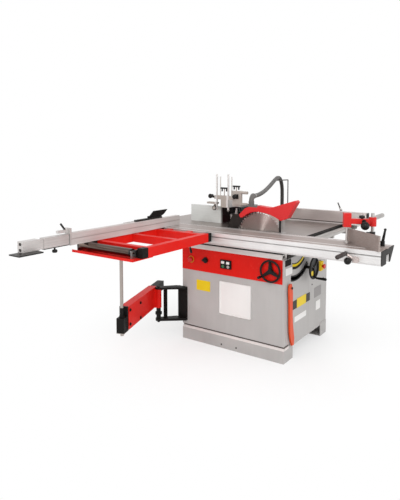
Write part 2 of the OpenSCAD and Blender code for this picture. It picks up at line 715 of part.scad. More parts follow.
module arm_tube() color("#201e1d") on_arm() {
  in_y = [box_y[0] + arm_wall + run, box_y[1] - arm_wall - run];
  in_z = [arm_top - arm_wall - run - 68, arm_top - arm_wall - run];
  mid = (box_y[0] + box_y[1])/2;
  difference() {
    slab([-200, arm_l + 6], in_y, in_z);
    slab([-201, arm_l - 20], [in_y[0] + 4, in_y[1] - 4], [in_z[0] + 4, in_z[1] - 4]);
  }
  // Runners under the tube, end plate, and the block of the post
  for (u = [180, 420]) bar_z([arm_low + arm_wall + run, in_z[0] + 1], u, mid, 30);
  slab([arm_l + 5, arm_l + 20], [box_y[0] + 2, box_y[1] - 2], [arm_low - 4, arm_top + 4]);
  slab([arm_l + 19, post_u + 28], [mid - 26, mid + 26], [arm_low - 6, arm_top - 60]);
  bar_z([arm_low - 26, rig_low - 4 - lift], post_u, mid, post_d);
  bar_z([arm_top - 61, arm_top - 48], post_u, mid, post_d + 12);
}

module trunnion_frame() color("#7a7672") on_tilt() {
  arm_z = [cradle_z - 57, -215];
  difference() {
    union() {
      for (x = [side_r, side_l]) {
        slab(x, web_y, [cradle_z, -100]);
        plate_x(x) polygon(tilt_ring(sector, 9, 64));
      }
      // Steps, the toothed sector with its tongue, and the plain ring with its tongue
      plate_x([side_r[1] - 1, side_r[1] + step_w + 1]) polygon(tilt_ring([186, 206], 9, 64));
      plate_x([side_r[1] + step_w, side_r[1] + step_w + ring_w])
        polygon(tilt_ring([sector[0], sector[1] - 5], -2.5, 64));
      for (i = [0:31]) plate_x([side_r[1] + step_w, side_r[1] + step_w + ring_w])
        polygon(tilt_ring([sector[1] - 6, sector[1]], -2.5 + 2.1*i, -1.4 + 2.1*i));
      plate_x([side_r[1] + step_w + ring_w - 1, rail_rx[0] + groove - run])
        polygon(tilt_ring(tongue, 10, 64));
      plate_x([side_l[0] - step_w - ring_w, side_l[0] + 1]) polygon(tilt_ring([186, 206], 10, 64));
      plate_x([rail_lx[1] - groove + run, side_l[0] - step_w]) polygon(tilt_ring(tongue, 10, 64));
      // Cradle with the guide columns
      slab([side_l[0], side_r[1]], web_y, [cradle_z, cradle_z + 15]);
      for (s = [-1, 1]) bar_z([cradle_z + 14, -75], blade_x + s*column_x, column_y, column_d);
      // Bearing of the rise shaft and of the lift screw
      plate_x(side_r) polygon([[web_y[0], arm_z[1]], [web_y[0], cradle_z - 10],
        [rise_y - 60, arm_z[0]], [rise_y + 24, arm_z[0]], [rise_y + 24, arm_z[1]]]);
      slab([screw_x - 18, side_r[1]], [rise_y - 18, rise_y + 18], [arm_z[0], arm_z[0] + 12]);
    }
    bar_x([side_r[0] - 1, side_r[1] + 1], rise_y, rise_z, rise_shaft_d + 2*run);
  }
}
module lift_screw() color("#a39f9b") on_tilt() {
  foot = cradle_z - 45 + run;
  bar_z([foot, -100], screw_x, rise_y, screw_d);
  bar_z([rise_z + 10, rise_z + 20], screw_x, rise_y, 30);
}
module arbor_block() color("#6b6864") on_tilt() {
  motor_y = [120, 132];
  side = 70;
  difference() {
    union() {
      slab([blade_x - 120, blade_x + 120], [24, 70], [-138, -80]);
      bar_y([12, 86], blade_x, -arbor_drop, 48);
      slab([blade_x - 22, blade_x + 22], [24, 84], [-90, -arbor_drop - 8]);
      // Holder of the riving knife
      slab([-60, -44], [1.3, 40], [-85, -55]);
      slab([-60, 20], [4, 40], [-85, -55]);
      slab([blade_x - 120, 20], [24, 40], [-85, -55]);
      // Motor carrier and the nut of the lift screw
      for (x = [[blade_x - side - 12, blade_x - side], [blade_x + side, blade_x + side + 12]])
        slab(x, [69, motor_y[1]], [-200, -100]);
      slab([blade_x - side - 12, blade_x + side + 12], motor_y, [-240, -100]);
      slab([blade_x + side, blade_x + side + 12], [motor_y[0], rise_y + 18], [-142, -118]);
      slab([blade_x + side, screw_x + 20], [rise_y - 18, rise_y + 18], [-142, -118]);
    }
    bar_y([11, 87], blade_x, -arbor_drop, arbor_d + 2*run);
    for (s = [-1, 1]) bar_z([-139, -50], blade_x + s*column_x, column_y, column_d + 2*run);
    bar_y([motor_y[0] - 1, motor_y[1] + 1], blade_x, motor_z, 60);
    bar_z([-143, -117], screw_x, rise_y, screw_d + 2*run);
  }
}
module saw_motor() color("#4f5354") on_tilt() {
  y = [132, 330];
  bar_y([y[0], y[0] + 12], blade_x, motor_z, motor_d - 6);
  bar_y([y[0] + 11, y[1] - 30], blade_x, motor_z, motor_d - 16);
  for (i = [0:9]) bar_y([y[0] + 22 + 14*i, y[0] + 28 + 14*i], blade_x, motor_z, motor_d);
  bar_y([y[1] - 31, y[1]], blade_x, motor_z, motor_d - 4);
  slab([blade_x - 40, blade_x + 40], [y[0] + 60, y[0] + 150], [motor_z - motor_d/2 - 26, motor_z - 50]);
}
// Outline of the belt about its two pulleys
module belt_line(t) {
  d = -arbor_drop - motor_z;
  b = asin((motor_pulley_r - arbor_pulley_r)/d);
  r1 = arbor_pulley_r + t;
  r2 = motor_pulley_r + t;
  translate([blade_x, -arbor_drop]) circle(r = r1);
  translate([blade_x, motor_z]) circle(r = r2);
  translate([blade_x, 0]) polygon([
    [r1*cos(b), r1*sin(b) - arbor_drop], [-r1*cos(b), r1*sin(b) - arbor_drop],
    [-r2*cos(b), r2*sin(b) + motor_z], [r2*cos(b), r2*sin(b) + motor_z]]);
}
module drive_belt() color("#232221") on_tilt()
  plate_y([pulley_y[0] + 5, pulley_y[1] - 5]) difference() {
    belt_line(belt_t);
    belt_line(0.3);
  }
module motor_pulley() color("#8b8784") on_tilt() {
  bar_y([pulley_y[0], pulley_y[0] + 4], blade_x, motor_z, 2*motor_pulley_r + 5);
  bar_y([pulley_y[0] + 3, pulley_y[1] - 3], blade_x, motor_z, 2*motor_pulley_r);
  bar_y([pulley_y[1] - 4, pulley_y[1]], blade_x, motor_z, 2*motor_pulley_r + 5);
  bar_y([pulley_y[1] - 1, 131], blade_x, motor_z, 24);
}
module saw_arbor() color("#a9a6a3") on_tilt() {
  face = kerf/2;
  bar_y([-face - flange_t, pulley_y[1]], blade_x, -arbor_drop, arbor_d - 0.1);
  for (y = [[-face - flange_t, -face], [face, face + flange_t]])
    bar_y(y, blade_x, -arbor_drop, 2*flange_r);
  bar_y(pulley_y, blade_x, -arbor_drop, 2*arbor_pulley_r);
}
module saw_blade() color("#c2c1c0") on_tilt() translate([blade_x, 0, -arbor_drop]) {
  step = 360/teeth;
  tooth = [[0, 0], [0.45, 3], [0.7, 13], [0.94, 11]];
  // The plate is thinner between the hub and the tips
  thin = [flange_r + 4, blade_r - 16];
  difference() {
    plate_y([-kerf/2, kerf/2]) difference() {
      polygon([for (i = [0:teeth - 1], t = tooth)
        [(blade_r - t[1])*cos((i + t[0])*step), (blade_r - t[1])*sin((i + t[0])*step)]]);
      circle(d = arbor_d);
    }
    for (y = [[-kerf/2 - 1, 0.4 - kerf/2], [kerf/2 - 0.4, kerf/2 + 1]]) difference() {
      bar_y(y, 0, 0, 2*thin[1]);
      bar_y([y[0] - 1, y[1] + 1], 0, 0, 2*thin[0]);
    }
    for (a = [20:90:290]) rotate([0, a, 0]) slab([blade_r - 52, blade_r - 18], [-3, 3], [-1.2, 1.2]);
  }
}
module riving_knife() color("#3f3d3c") on_tilt() plate_y([-1.3, 1.3]) difference() {
  tip = 180 - asin((knife_top + arbor_drop)/(blade_r + knife_gap));
  polygon(concat([[-139, -30], [-139, 0], [-92, 104],
      [blade_x + (blade_r + knife_gap)*cos(tip), knife_top + 2]],
    arc(blade_r + knife_gap, tip, 193, 16, [blade_x, -arbor_drop]), [[-92, -81], [-92, -30]]));
  translate([10, 100]) circle(d = 8);
}
module blade_guard() color("#c4161b") {
  half = 30;
  wall = 4;
  shape = [[-21, 106], [-10, 87], [8, 88], [20, 97], [40, 112], [70, 127], [100, 135],
           [134, 138], [190, 133], [230, 124], [270, 109], [300, 94], [314, 87], [361, 106],
           [400, 173], [428, 220], [416, 232], [231, 171], [125, 180], [82, 177], [30, 157]];
  inner = [[-16, 107], [-9, 80], [316, 80], [357, 109], [396, 175], [420, 219], [414, 226],
           [231, 166], [125, 175], [83, 172], [33, 152]];
  difference() {
    plate_y([blade_y - half, blade_y + half]) translate([0, T]) polygon(shape);
    plate_y([blade_y - half + wall, blade_y + half - wall]) translate([0, T]) polygon(inner);
    bar_z([T + 160, T + 200], port_x, blade_y, 24);
    // Slot for the riving knife
    slab([-30, 2], [blade_y - 2.3, blade_y + 2.3], [T + 80, T + 113]);
  }
  // Bolt on the riving knife, with its spacers
  bar_y([blade_y - half - 4, blade_y - 1.3], 10, T + 100, 16);
  bar_y([blade_y + 1.3, blade_y + half + 4], 10, T + 100, 16);
  bar_y([blade_y - 2, blade_y + 2], 10, T + 100, 8);
  // Strip under the front corner
  slab([284, 310], [blade_y - half + 1, blade_y + half - 1], [T + 110, T + 118]);
  slab([289, 305], [blade_y - 8, blade_y - 5], [T + 2, T + 112]);
  // Elbow of the dust hose
  translate([port_x, blade_y, 0]) difference() {
    union() {
      bar_z([T + 168, T + 178], 0, 0, 52);
      bar_z([T + 168, elbow_z - elbow_r + 3], 0, 0, hose_d + 9);
      rotate([0, 0, hose_turn]) translate([elbow_r, 0, elbow_z - elbow_r]) rotate([90, 0, 180])
        rotate_extrude(angle = 90) translate([elbow_r, 0]) circle(d = hose_d + 4);
      rotate([0, 0, hose_turn]) bar_x([elbow_r - 3, elbow_r + 10.5], 0, elbow_z, hose_d + 9);
    }
    bar_z([T + 160, T + 194], 0, 0, 24);
  }
}
module rise_wheel() color("#2b2a29") on_tilt() translate([0, rise_y, rise_z]) {
  hub = pane_x + 50;
  translate([hub, 0, 0]) rotate([0, 90, 0]) {
    handwheel(160, 90, 8);
    translate([0, 0, 9]) cylinder(d = 146, h = 6);
  }
  bar_x([screw_x + 16, hub + 1], 0, 0, rise_shaft_d);
  bar_x([screw_x + 16, screw_x + 26], 0, 0, 36);
}
module tilt_wheel() color("#2b2a29") translate([worm_x, 0, T + worm_z]) {
  translate([0, band_y - run, 0]) rotate([90, 0, 0]) handwheel(155, 62, 214);
  bar_y([band_y - 5, blade_y + 46], 0, 0, tilt_shaft_d);
  // Worm below the sector
  for (i = [0:6]) bar_y([blade_y - 24 + 7*i, blade_y - 20 + 7*i], 0, 0, 26);
  bar_y([blade_y - 24, blade_y + 24], 0, 0, 21);
}

module slide_section() {
  bevel = slide_h - 5;
  difference() {
    polygon([[slide_front, T], [slide_in, T], [slide_in, T - 5], [slide_in - bevel, slide_low],
      [slide_front + 12, slide_low], [slide_front, slide_low + 12]]);
    translate([channel_y[0], slide_low - 1]) square([channel_y[1] - channel_y[0], channel_h + 1]);
    translate([slide_front + 8, slide_low + 8]) square([channel_y[0] - slide_front - 16, 29]);
    for (y = top_slots) translate([y, T]) t_slot(10, 20, 6, 8);
    translate([slide_front, face_slot_z]) rotate(90) t_slot(7, 20, 6, 8);
  }
}
module slide_carriage() color("#d3d1d0")
  plate_x([slide_x0 + cap_t, slide_right - cap_t]) slide_section();
module slide_caps() color("#4a4846")
  for (x = [[slide_x0, slide_x0 + cap_t], [slide_right - cap_t, slide_right]])
    plate_x(x) difference() {
      polygon([[slide_front, T], [slide_in, T], [slide_in, T - 5], [slide_in - slide_h + 5, slide_low],
        [slide_front + 12, slide_low], [slide_front, slide_low + 12]]);
      translate([channel_y[0], slide_low - 1]) square([channel_y[1] - channel_y[0], channel_h + 1]);
    }
module push_handle() color("#2a2928") {
  z = T - 28;
  slab([906, 936], [slide_front - 30, slide_front], [T - 74, T - 46]);
  translate([920, slide_front - 22, T - 60]) rotate([0, -61, 0]) cylinder(d = 16, h = 66);
  bar_y([slide_front - 150, slide_front - 14], 862, z, 26);
  translate([862, slide_front - 150, z]) sphere(d = 26);
}
module slide_lock() color("#232221") translate([885, slide_front - run, T - 65]) {
  bar_y([-32, 0], 0, 0, 12);
  bar_y([-8, 0], 0, 0, 20);
  translate([0, -46, 0]) sphere(d = 42);
}
module mitre_fence() color("#b9b6b3") {
  a = mitre_line[0];
  b = mitre_line[1];
  turn = atan2(b[1] - a[1], b[0] - a[0]);
  reach = norm(b - a);
  translate([a[0], a[1], 0]) rotate([0, 0, turn]) {
    difference() {
      slab([0, reach], [-12, 0], [T + lift, T + lift + 90]);
      slab([-1, reach + 1], [-4, 1], [T + 42, T + 54]);
    }
    slab([120, 260], [-1, 60], [T + lift, T + lift + 10]);
  }
  bar_z([T + lift, T + lift + 10], mitre_at[0], mitre_at[1], 70);
}
module mitre_lever() color("#232221")
  translate([mitre_at[0], mitre_at[1], T + lift + 10 + run]) clamp_handle(26, 30, 10, 78);
module clamp_post() color("#b4b1ae") {
  bar_z([T, T + 190], post_at[0], post_at[1], 20);
  bar_z([T, T + 10], post_at[0], post_at[1], 46);
  // Collar with a wing knob
  bar_z([T + 55, T + 76], post_at[0], post_at[1], 34);
  slab([post_at[0] - 36, post_at[0]], [post_at[1] - 5, post_at[1] + 5], [T + 60, T + 72]);
}
module on_clamp() {
  span = rod_at - post_at;
  translate([post_at[0], post_at[1], 0]) rotate([0, 0, atan2(span[1], span[0])]) children();
}
clamp_reach = norm(rod_at - post_at);
clamp_z = [T + 125, T + 155];
module clamp_arm() color("#c9201b") on_clamp() difference() {
  union() {
    slab([0, clamp_reach], [-14, 14], clamp_z);
    bar_z([clamp_z[0] - 15, clamp_z[1] + 10], 0, 0, 44);
    slab([clamp_reach - 22, clamp_reach + 22], [-20, 20], [clamp_z[0] - 20, clamp_z[1] + 35]);
    bar_z([T + 11, clamp_z[0]], clamp_reach, 0, 14);
    bar_z([T + 8, T + 16], clamp_reach, 0, 34);
  }
  bar_z([T, T + 300], 0, 0, 20 + 2*run);
}
module clamp_lever() color("#1f1e1d") on_clamp() translate([56, 14 + run, clamp_z[0] + 15]) {
  rotate([-90, 0, 0]) cylinder(d = 24, h = 10);
  translate([0, 5, -4]) rotate([-125, 0, 0]) cylinder(d = 12, h = 30);
  translate([0, 32, -22]) sphere(d = 52);
}

module outrigger_frame() color("#d0251d") {
  span = [far_x[1] - 1, near_x[0] + 1];
  hooks = [[-470, -430], clamp_hook];
  for (x = [near_x, far_x]) tube_y(x, [rig_end, rig_in], [rig_low, T], rig_wall);
  for (y = [rig_in - 46, -820, rig_end + 2])
    tube_x(span, [y, y + 40], [rig_low + 4, T - 4], rig_wall);
  // Bar that rests on the post of the swing arm
  tube_x(span, [-1070, -1000], [rig_low - 4, rig_low + 25], rig_wall);
  // Hooks in the slot of the carriage
  for (x = hooks) {
    slab(x, [rig_in - 7, slide_front - run], [rig_low + 4, T - 4]);
    slab(x, [slide_front - 1, slide_front + 7], [face_slot_z - 3, face_slot_z + 3]);
    slab(x, [slide_front + 6.4, slide_front + 13.4], [face_slot_z - 9.5, face_slot_z + 9.5]);
  }
  // Tray beyond the beams
  slab([tray_far, near_x[1]], [rig_out - 97, rig_end + 42], [rig_low - 4, rig_low]);
  slab([tray_far, near_x[1]], [rig_out - 97, rig_out - 93], [rig_low - 4, rig_low + 12]);
  // Pivot of the crosscut fence
  bar_z([T - 10, cross_z[0] + 7], flip_axis[0], cross_pivot, pivot_d);
}
module outrigger_caps() color("#1e1d1c")
  for (x = [near_x, far_x], y = [[rig_end - cap_len, rig_end], [rig_in, slide_front - 2]])
    slab(x, y, [rig_low, T]);
module roller_brackets() color("#9b9996")
  for (x = [[roller_x[0] - 6, roller_x[0] - 2], [roller_x[1] + 2, roller_x[1] + 6]])
    difference() {
      slab(x, [roller_y - 20, rig_end + 2], [rig_low, T - 10]);
      bar_x([x[0] - 1, x[1] + 1], roller_y, roller_z, 12 + 2*run);
    }
module roller() color("#c7c5c3") {
  bar_x(roller_x, roller_y, roller_z, roller_d);
  bar_x([roller_x[0] - 10, roller_x[1] + 10], roller_y, roller_z, 12);
}
module outrigger_clamp() color("#1f1e1d")
  translate([(clamp_hook[0] + clamp_hook[1])/2, rig_in + 17, rig_low + 4 - run]) rotate([180, 0, 0])
    clamp_handle(22, 26, 16, 52);

module crosscut_fence() color("#c9c8c7") {
  wall = 4;
  difference() {
    union() {
      slab(cross_x, cross_y, cross_z);
      // Bar that carries the stop
      slab([flip_axis[0] - 12, flip_axis[0] + 12], [-772, -496], [cross_z[1] - 1, flip_axis[1] - 7.3]);
    }
    slab([cross_x[0] + wall, cross_x[1] - wall], [cross_y[0] - 1, cross_y[1] + 1],
         [cross_z[0] + 9, cross_z[1] - 10]);
    slab([cross_x[0] + 16, cross_x[1] - 16], [cross_y[0] - 1, -800], [cross_z[1] - 5, cross_z[1] + 1]);
    slab([cross_x[1] - 2, cross_x[1] + 1], [cross_y[0] - 1, cross_y[1] + 1], [T + 36, T + 42]);
    bar_z([cross_z[0] - 1, cross_z[0] + 10], flip_axis[0], cross_pivot, pivot_d + 2*run);
  }
}
module end_stop() color("#5c5a58") difference() {
  union() {
    slab([cross_x[0] - 5, cross_x[1] + 5], [cross_y[0] - 12, cross_y[0]], [T + 2, T + 106]);
    slab([cross_x[0] + 10, cross_x[1] - 10], [cross_y[0] - 88, cross_y[0] - 11], [T + 82, T + 98]);
    translate([flip_axis[0], cross_y[0] - 26, T + 92]) rotate([38, 0, 0]) cylinder(d = 12, h = 56);
  }
  slab([tube_x0[0] - 2, tube_x0[1] + 2], [cross_y[0] - 13, cross_y[0] + 1], [tube_z0[0] - 2, tube_z0[1] + 2]);
}
module fence_tube() color("#cfcecd") {
  sleeve = [cross_y[0] - 195, cross_y[0] - 19];
  block = [cross_y[0] - 337, cross_y[0] - 226];
  tube_y(tube_x0, [block[1] - 1, -900], tube_z0, 3);
  difference() {
    slab(cross_x, sleeve, [cross_z[0] + 4, cross_z[1] - 3]);
    slab([tube_x0[0] + 1, tube_x0[1] - 1], [sleeve[0] - 1, sleeve[1] + 1], [tube_z0[0] + 1, tube_z0[1] - 1]);
  }
  slab([cross_x[0] - 4, cross_x[1] + 4], block, [T + 8, cross_z[1] - 4]);
  slab([cross_x[0] + 6, cross_x[1] + 59], [cross_y[0] - 398, cross_y[0] - 243], [T + 2, T + 9]);
}
module flip_stop() color("#8a8886") {
  low = flip_axis[1];
  plate_x([flip_axis[0] - 6, flip_axis[0] + 6])
    polygon([[-629, low - 3], [-574, low + 38], [-425, low + 38], [-470, low + 4], [-496, low - 3]]);
  bar_y([-640, -490], flip_axis[0], low, 14);
}

cabinet_shell();
base_feet();
front_band();
slide_beam();
main_table();
table_inserts();
trunnion_rails();
panel_trim();
rip_bar();
moulder_hood();
moulder_fence();
pressure_unit();
spindle_housing();
spindle_quill();
moulder_spindle();
hose_stand();
dust_manifold();
dust_hose();
arm_bracket();
trunnion_frame();
lift_screw();
arbor_block();
saw_motor();
drive_belt();
riving_knife();
blade_guard();
saw_blade();
saw_arbor();
motor_pulley();
rise_wheel();
tilt_wheel();
slide_carriage();
slide_caps();
push_handle();
slide_lock();
mitre_fence();
mitre_lever();
clamp_post();
clamp_arm();
clamp_lever();
outrigger_frame();
outrigger_caps();
roller_brackets();
roller();
outrigger_clamp();
crosscut_fence();
end_stop();
fence_tube();
flip_stop();
swing_arm();
arm_tube();
rip_head();
rip_fence();
rip_lever();
stop_front();
stop_side();
selector_knob();
start_button();
off_button();
push_stick();
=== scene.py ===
import math

import bpy
from mathutils import Matrix, Vector


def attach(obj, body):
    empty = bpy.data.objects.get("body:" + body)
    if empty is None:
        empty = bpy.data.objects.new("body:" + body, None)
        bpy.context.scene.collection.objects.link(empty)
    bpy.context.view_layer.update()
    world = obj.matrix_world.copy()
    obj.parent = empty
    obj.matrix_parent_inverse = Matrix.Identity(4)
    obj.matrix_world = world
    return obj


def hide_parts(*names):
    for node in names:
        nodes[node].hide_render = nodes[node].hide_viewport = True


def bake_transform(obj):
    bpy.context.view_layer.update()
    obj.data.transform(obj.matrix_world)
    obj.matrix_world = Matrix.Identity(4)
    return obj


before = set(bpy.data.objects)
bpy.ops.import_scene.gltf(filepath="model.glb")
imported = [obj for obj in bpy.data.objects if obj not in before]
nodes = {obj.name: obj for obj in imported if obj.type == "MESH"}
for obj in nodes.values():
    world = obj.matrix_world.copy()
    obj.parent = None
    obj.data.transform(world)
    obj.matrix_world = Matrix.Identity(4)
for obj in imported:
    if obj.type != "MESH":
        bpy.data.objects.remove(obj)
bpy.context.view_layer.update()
scene = bpy.context.scene
scene.view_settings.view_transform = "Standard"

# Camera at the photograph's place
camera_data = bpy.data.cameras.new("camera")
camera_data.sensor_width = 36
camera_data.lens = 35.67
camera_data.shift_y = -0.12
camera_data.clip_end = 60
camera = bpy.data.objects.new("camera", camera_data)
camera.location = (1.826, -3.298, 1.409)
camera.rotation_euler = (math.radians(85.63), 0, math.radians(35.52))
scene.collection.objects.link(camera)
scene.camera = camera


def srgb(text):
    """A hex colour as the linear values that a shader takes."""
    parts = [int(text[i : i + 2], 16) / 255 for i in (1, 3, 5)]
    return [p / 12.92 if p <= 0.04045 else ((p + 0.055) / 1.055) ** 2.4 for p in parts] + [1.0]


# Node helpers


def new_group(name, inputs, outputs):
    group = bpy.data.node_groups.new(name, "ShaderNodeTree")
    for label, kind, value in inputs:
        socket = group.interface.new_socket(label, in_out="INPUT", socket_type=kind)
        socket.default_value = value
    for label, kind in outputs:
        group.interface.new_socket(label, in_out="OUTPUT", socket_type=kind)
    return group, group.nodes.new("NodeGroupInput"), group.nodes.new("NodeGroupOutput")


def feed(tree, socket, value):
    if isinstance(value, (int, float, list, tuple)):
        socket.default_value = value
    else:
        tree.links.new(value, socket)


def math_node(tree, kind, a, b=None):
    node = tree.nodes.new("ShaderNodeMath")
    node.operation = kind
    feed(tree, node.inputs[0], a)
    if b is not None:
        feed(tree, node.inputs[1], b)
    return node.outputs[0]


def noise(tree, vector, scale, detail=3.0, rough=0.55):
    node = tree.nodes.new("ShaderNodeTexNoise")
    node.inputs["Scale"].default_value = scale
    node.inputs["Detail"].default_value = detail
    node.inputs["Roughness"].default_value = rough
    tree.links.new(vector, node.inputs["Vector"])
    return node.outputs["Fac"]


def remap(tree, value, low, high, to_low=0.0, to_high=1.0):
    node = tree.nodes.new("ShaderNodeMapRange")
    node.inputs["From Min"].default_value = low
    node.inputs["From Max"].default_value = high
    node.inputs["To Min"].default_value = to_low
    node.inputs["To Max"].default_value = to_high
    tree.links.new(value, node.inputs["Value"])
    return node.outputs["Result"]


def blend_colour(tree, fac, a, b):
    node = tree.nodes.new("ShaderNodeMix")
    node.data_type = "RGBA"
    feed(tree, node.inputs["Factor"], fac)
    feed(tree, node.inputs[6], a)
    feed(tree, node.inputs[7], b)
    return node.outputs[2]


def blend_value(tree, fac, a, b):
    node = tree.nodes.new("ShaderNodeMix")
    feed(tree, node.inputs["Factor"], fac)
    feed(tree, node.inputs[2], a)
    feed(tree, node.inputs[3], b)
    return node.outputs[0]


def weighted(tree, a, share_a, b, share_b):
    """Each value times its own factor, summed."""
    return math_node(tree, "ADD", math_node(tree, "MULTIPLY", a, share_a), math_node(tree, "MULTIPLY", b, share_b))


def scaled_vector(tree, vector, factors):
    node = tree.nodes.new("ShaderNodeVectorMath")
    node.operation = "MULTIPLY"
    tree.links.new(vector, node.inputs[0])
    feed(tree, node.inputs[1], factors)
    return node.outputs["Vector"]


# Effects that several finishes share
SHADE = [0.02, 0.018, 0.016, 1]
SAWDUST = [0.5, 0.45, 0.38, 1]
PEEL_STRENGTH = 0.4
GRAIN_DEPTH, GRAIN_STRENGTH = 0.0001, 0.25


def make_coat_group():
    """Sprayed coat: cloudy tone, faint vertical runs, orange peel and a little workshop dust."""
    group, inn, out = new_group(
        "sprayed_coat",
        [("Vector", "NodeSocketVector", (0, 0, 0)), ("Colour", "NodeSocketColor", (0.5, 0.5, 0.5, 1)),
         ("Dust", "NodeSocketFloat", 0.1), ("Gloss", "NodeSocketFloat", 0.35), ("Tone", "NodeSocketFloat", 0.1)],
        [("Colour", "NodeSocketColor"), ("Roughness", "NodeSocketFloat"), ("Height", "NodeSocketFloat")],
    )
    vector = inn.outputs["Vector"]
    cloud = noise(group, vector, 5.0, 4.0)
    runs = noise(group, scaled_vector(group, vector, (38, 38, 3)), 1.0, 2.0)
    peel = noise(group, vector, 420.0, 2.0)
    mixed = weighted(group, cloud, 0.7, runs, 0.3)
    tone = math_node(group, "MULTIPLY", remap(group, mixed, 0.62, 0.36), inn.outputs["Tone"])
    toned = blend_colour(group, tone, inn.outputs["Colour"], SHADE)
    specks = remap(group, noise(group, vector, 60.0, 5.0, 0.7), 0.56, 0.75)
    dusty = math_node(group, "MULTIPLY", specks, inn.outputs["Dust"])
    group.links.new(blend_colour(group, dusty, toned, SAWDUST), out.inputs["Colour"])
    rough = math_node(group, "ADD", inn.outputs["Gloss"], math_node(group, "MULTIPLY", cloud, 0.12))
    rough = math_node(group, "ADD", rough, math_node(group, "MULTIPLY", dusty, 0.3))
    group.links.new(rough, out.inputs["Roughness"])
    group.links.new(peel, out.inputs["Height"])
    return group


def make_grain_group():
    """Drawn or ground metal: fine lines along one axis over a slow, blotchy tone."""
    group, inn, out = new_group(
        "ground_metal",
        [("Vector", "NodeSocketVector", (0, 0, 0)), ("Along", "NodeSocketVector", (2, 300, 300)),
         ("Light", "NodeSocketColor", (0.7, 0.7, 0.7, 1)), ("Dark", "NodeSocketColor", (0.5, 0.5, 0.5, 1)),
         ("Gloss", "NodeSocketFloat", 0.3)],
        [("Colour", "NodeSocketColor"), ("Roughness", "NodeSocketFloat"), ("Height", "NodeSocketFloat")],
    )
    vector = inn.outputs["Vector"]
    lines = noise(group, scaled_vector(group, vector, inn.outputs["Along"]), 1.0, 3.0, 0.7)
    slow = noise(group, vector, 4.0, 4.0, 0.6)
    mixed = weighted(group, lines, 0.55, slow, 0.45)
    tone = remap(group, mixed, 0.34, 0.66)
    group.links.new(blend_colour(group, tone, inn.outputs["Dark"], inn.outputs["Light"]), out.inputs["Colour"])
    rough = math_node(group, "ADD", inn.outputs["Gloss"], math_node(group, "MULTIPLY", lines, 0.22))
    group.links.new(rough, out.inputs["Roughness"])
    group.links.new(lines, out.inputs["Height"])
    return group


COAT = make_coat_group()
GRAIN = make_grain_group()


class Finish:
    """One material under construction: shader, object coordinates, zones and bump."""

    def __init__(self, name, metallic=0.0, specular=0.25, coat=0.0):
        self.material = bpy.data.materials.new(name)
        self.material.use_nodes = True
        self.tree = self.material.node_tree
        self.shader = self.tree.nodes["Principled BSDF"]
        self.shader.inputs["Metallic"].default_value = metallic
        self.shader.inputs["Coat Weight"].default_value = coat
        self.shader.inputs["Specular IOR Level"].default_value = specular
        self.metal = metallic
        self.place = self.tree.nodes.new("ShaderNodeTexCoord").outputs["Object"]
        split = self.tree.nodes.new("ShaderNodeSeparateXYZ")
        self.tree.links.new(self.place, split.inputs[0])
        self.axes = split.outputs

    def within(self, zone):
        """Mask of a box of the machine's frame: letters with their lowest and highest value."""
        mask = None
        for letter, (low, high) in zone.items():
            node = self.tree.nodes.new("ShaderNodeMath")
            node.operation = "COMPARE"
            self.tree.links.new(self.axes[letter], node.inputs[0])
            node.inputs[1].default_value = (low + high) / 2
            node.inputs[2].default_value = (high - low) / 2
            mask = node.outputs[0] if mask is None else math_node(self.tree, "MULTIPLY", mask, node.outputs[0])
        return mask

    def group(self, tree):
        node = self.tree.nodes.new("ShaderNodeGroup")
        node.node_tree = tree
        self.tree.links.new(self.place, node.inputs["Vector"])
        return node

    def grain(self, light, dark, along, gloss):
        """Ground-metal lines in this finish's own tones, with their bump."""
        node = self.group(GRAIN)
        node.inputs["Along"].default_value = along
        node.inputs["Light"].default_value = srgb(light)
        node.inputs["Dark"].default_value = srgb(dark)
        node.inputs["Gloss"].default_value = gloss
        self.bump(node.outputs["Height"], GRAIN_DEPTH, GRAIN_STRENGTH)
        return node.outputs["Colour"], node.outputs["Roughness"]

    def zoned(self, colour, zones):
        """Lay zones over a colour, each with its box, its own colour and how far it is bare metal."""
        metal_to = None
        for zone, other, bare in zones:
            mask = self.within(zone)
            colour = blend_colour(self.tree, mask, colour, srgb(other))
            if bare != self.metal:
                metal_to = blend_value(self.tree, mask, self.metal if metal_to is None else metal_to, bare)
        if metal_to is not None:
            self.tree.links.new(metal_to, self.shader.inputs["Metallic"])
        return colour

    def bump(self, height, distance, strength):
        node = self.tree.nodes.new("ShaderNodeBump")
        node.inputs["Distance"].default_value = distance
        node.inputs["Strength"].default_value = strength
        self.tree.links.new(height, node.inputs["Height"])
        self.tree.links.new(node.outputs["Normal"], self.shader.inputs["Normal"])

    def use(self, colour, rough):
        feed(self.tree, self.shader.inputs["Base Color"], colour)
        feed(self.tree, self.shader.inputs["Roughness"], rough)
        return self.material


def painted(name, colour, gloss=0.34, dust=0.04, tone=0.1, specular=0.25, coat=0.0, peel=0.0002, zones=()):
    """Sprayed or moulded surface."""
    finish = Finish(name, 0.0, specular, coat)
    group = finish.group(COAT)
    feed(finish.tree, group.inputs["Colour"], finish.zoned(srgb(colour), zones))
    group.inputs["Dust"].default_value = dust
    group.inputs["Gloss"].default_value = gloss
    group.inputs["Tone"].default_value = tone
    finish.bump(group.outputs["Height"], peel, PEEL_STRENGTH)
    return finish.use(group.outputs["Colour"], group.outputs["Roughness"])


def bare_metal(name, light, dark, along, gloss=0.25, metallic=1.0, zones=()):
    """Bare metal with lines along the axis that has the smallest value in along."""
    finish = Finish(name, metallic, 0.4)
    colour, rough = finish.grain(light, dark, along, gloss)
    return finish.use(finish.zoned(colour, zones), rough)


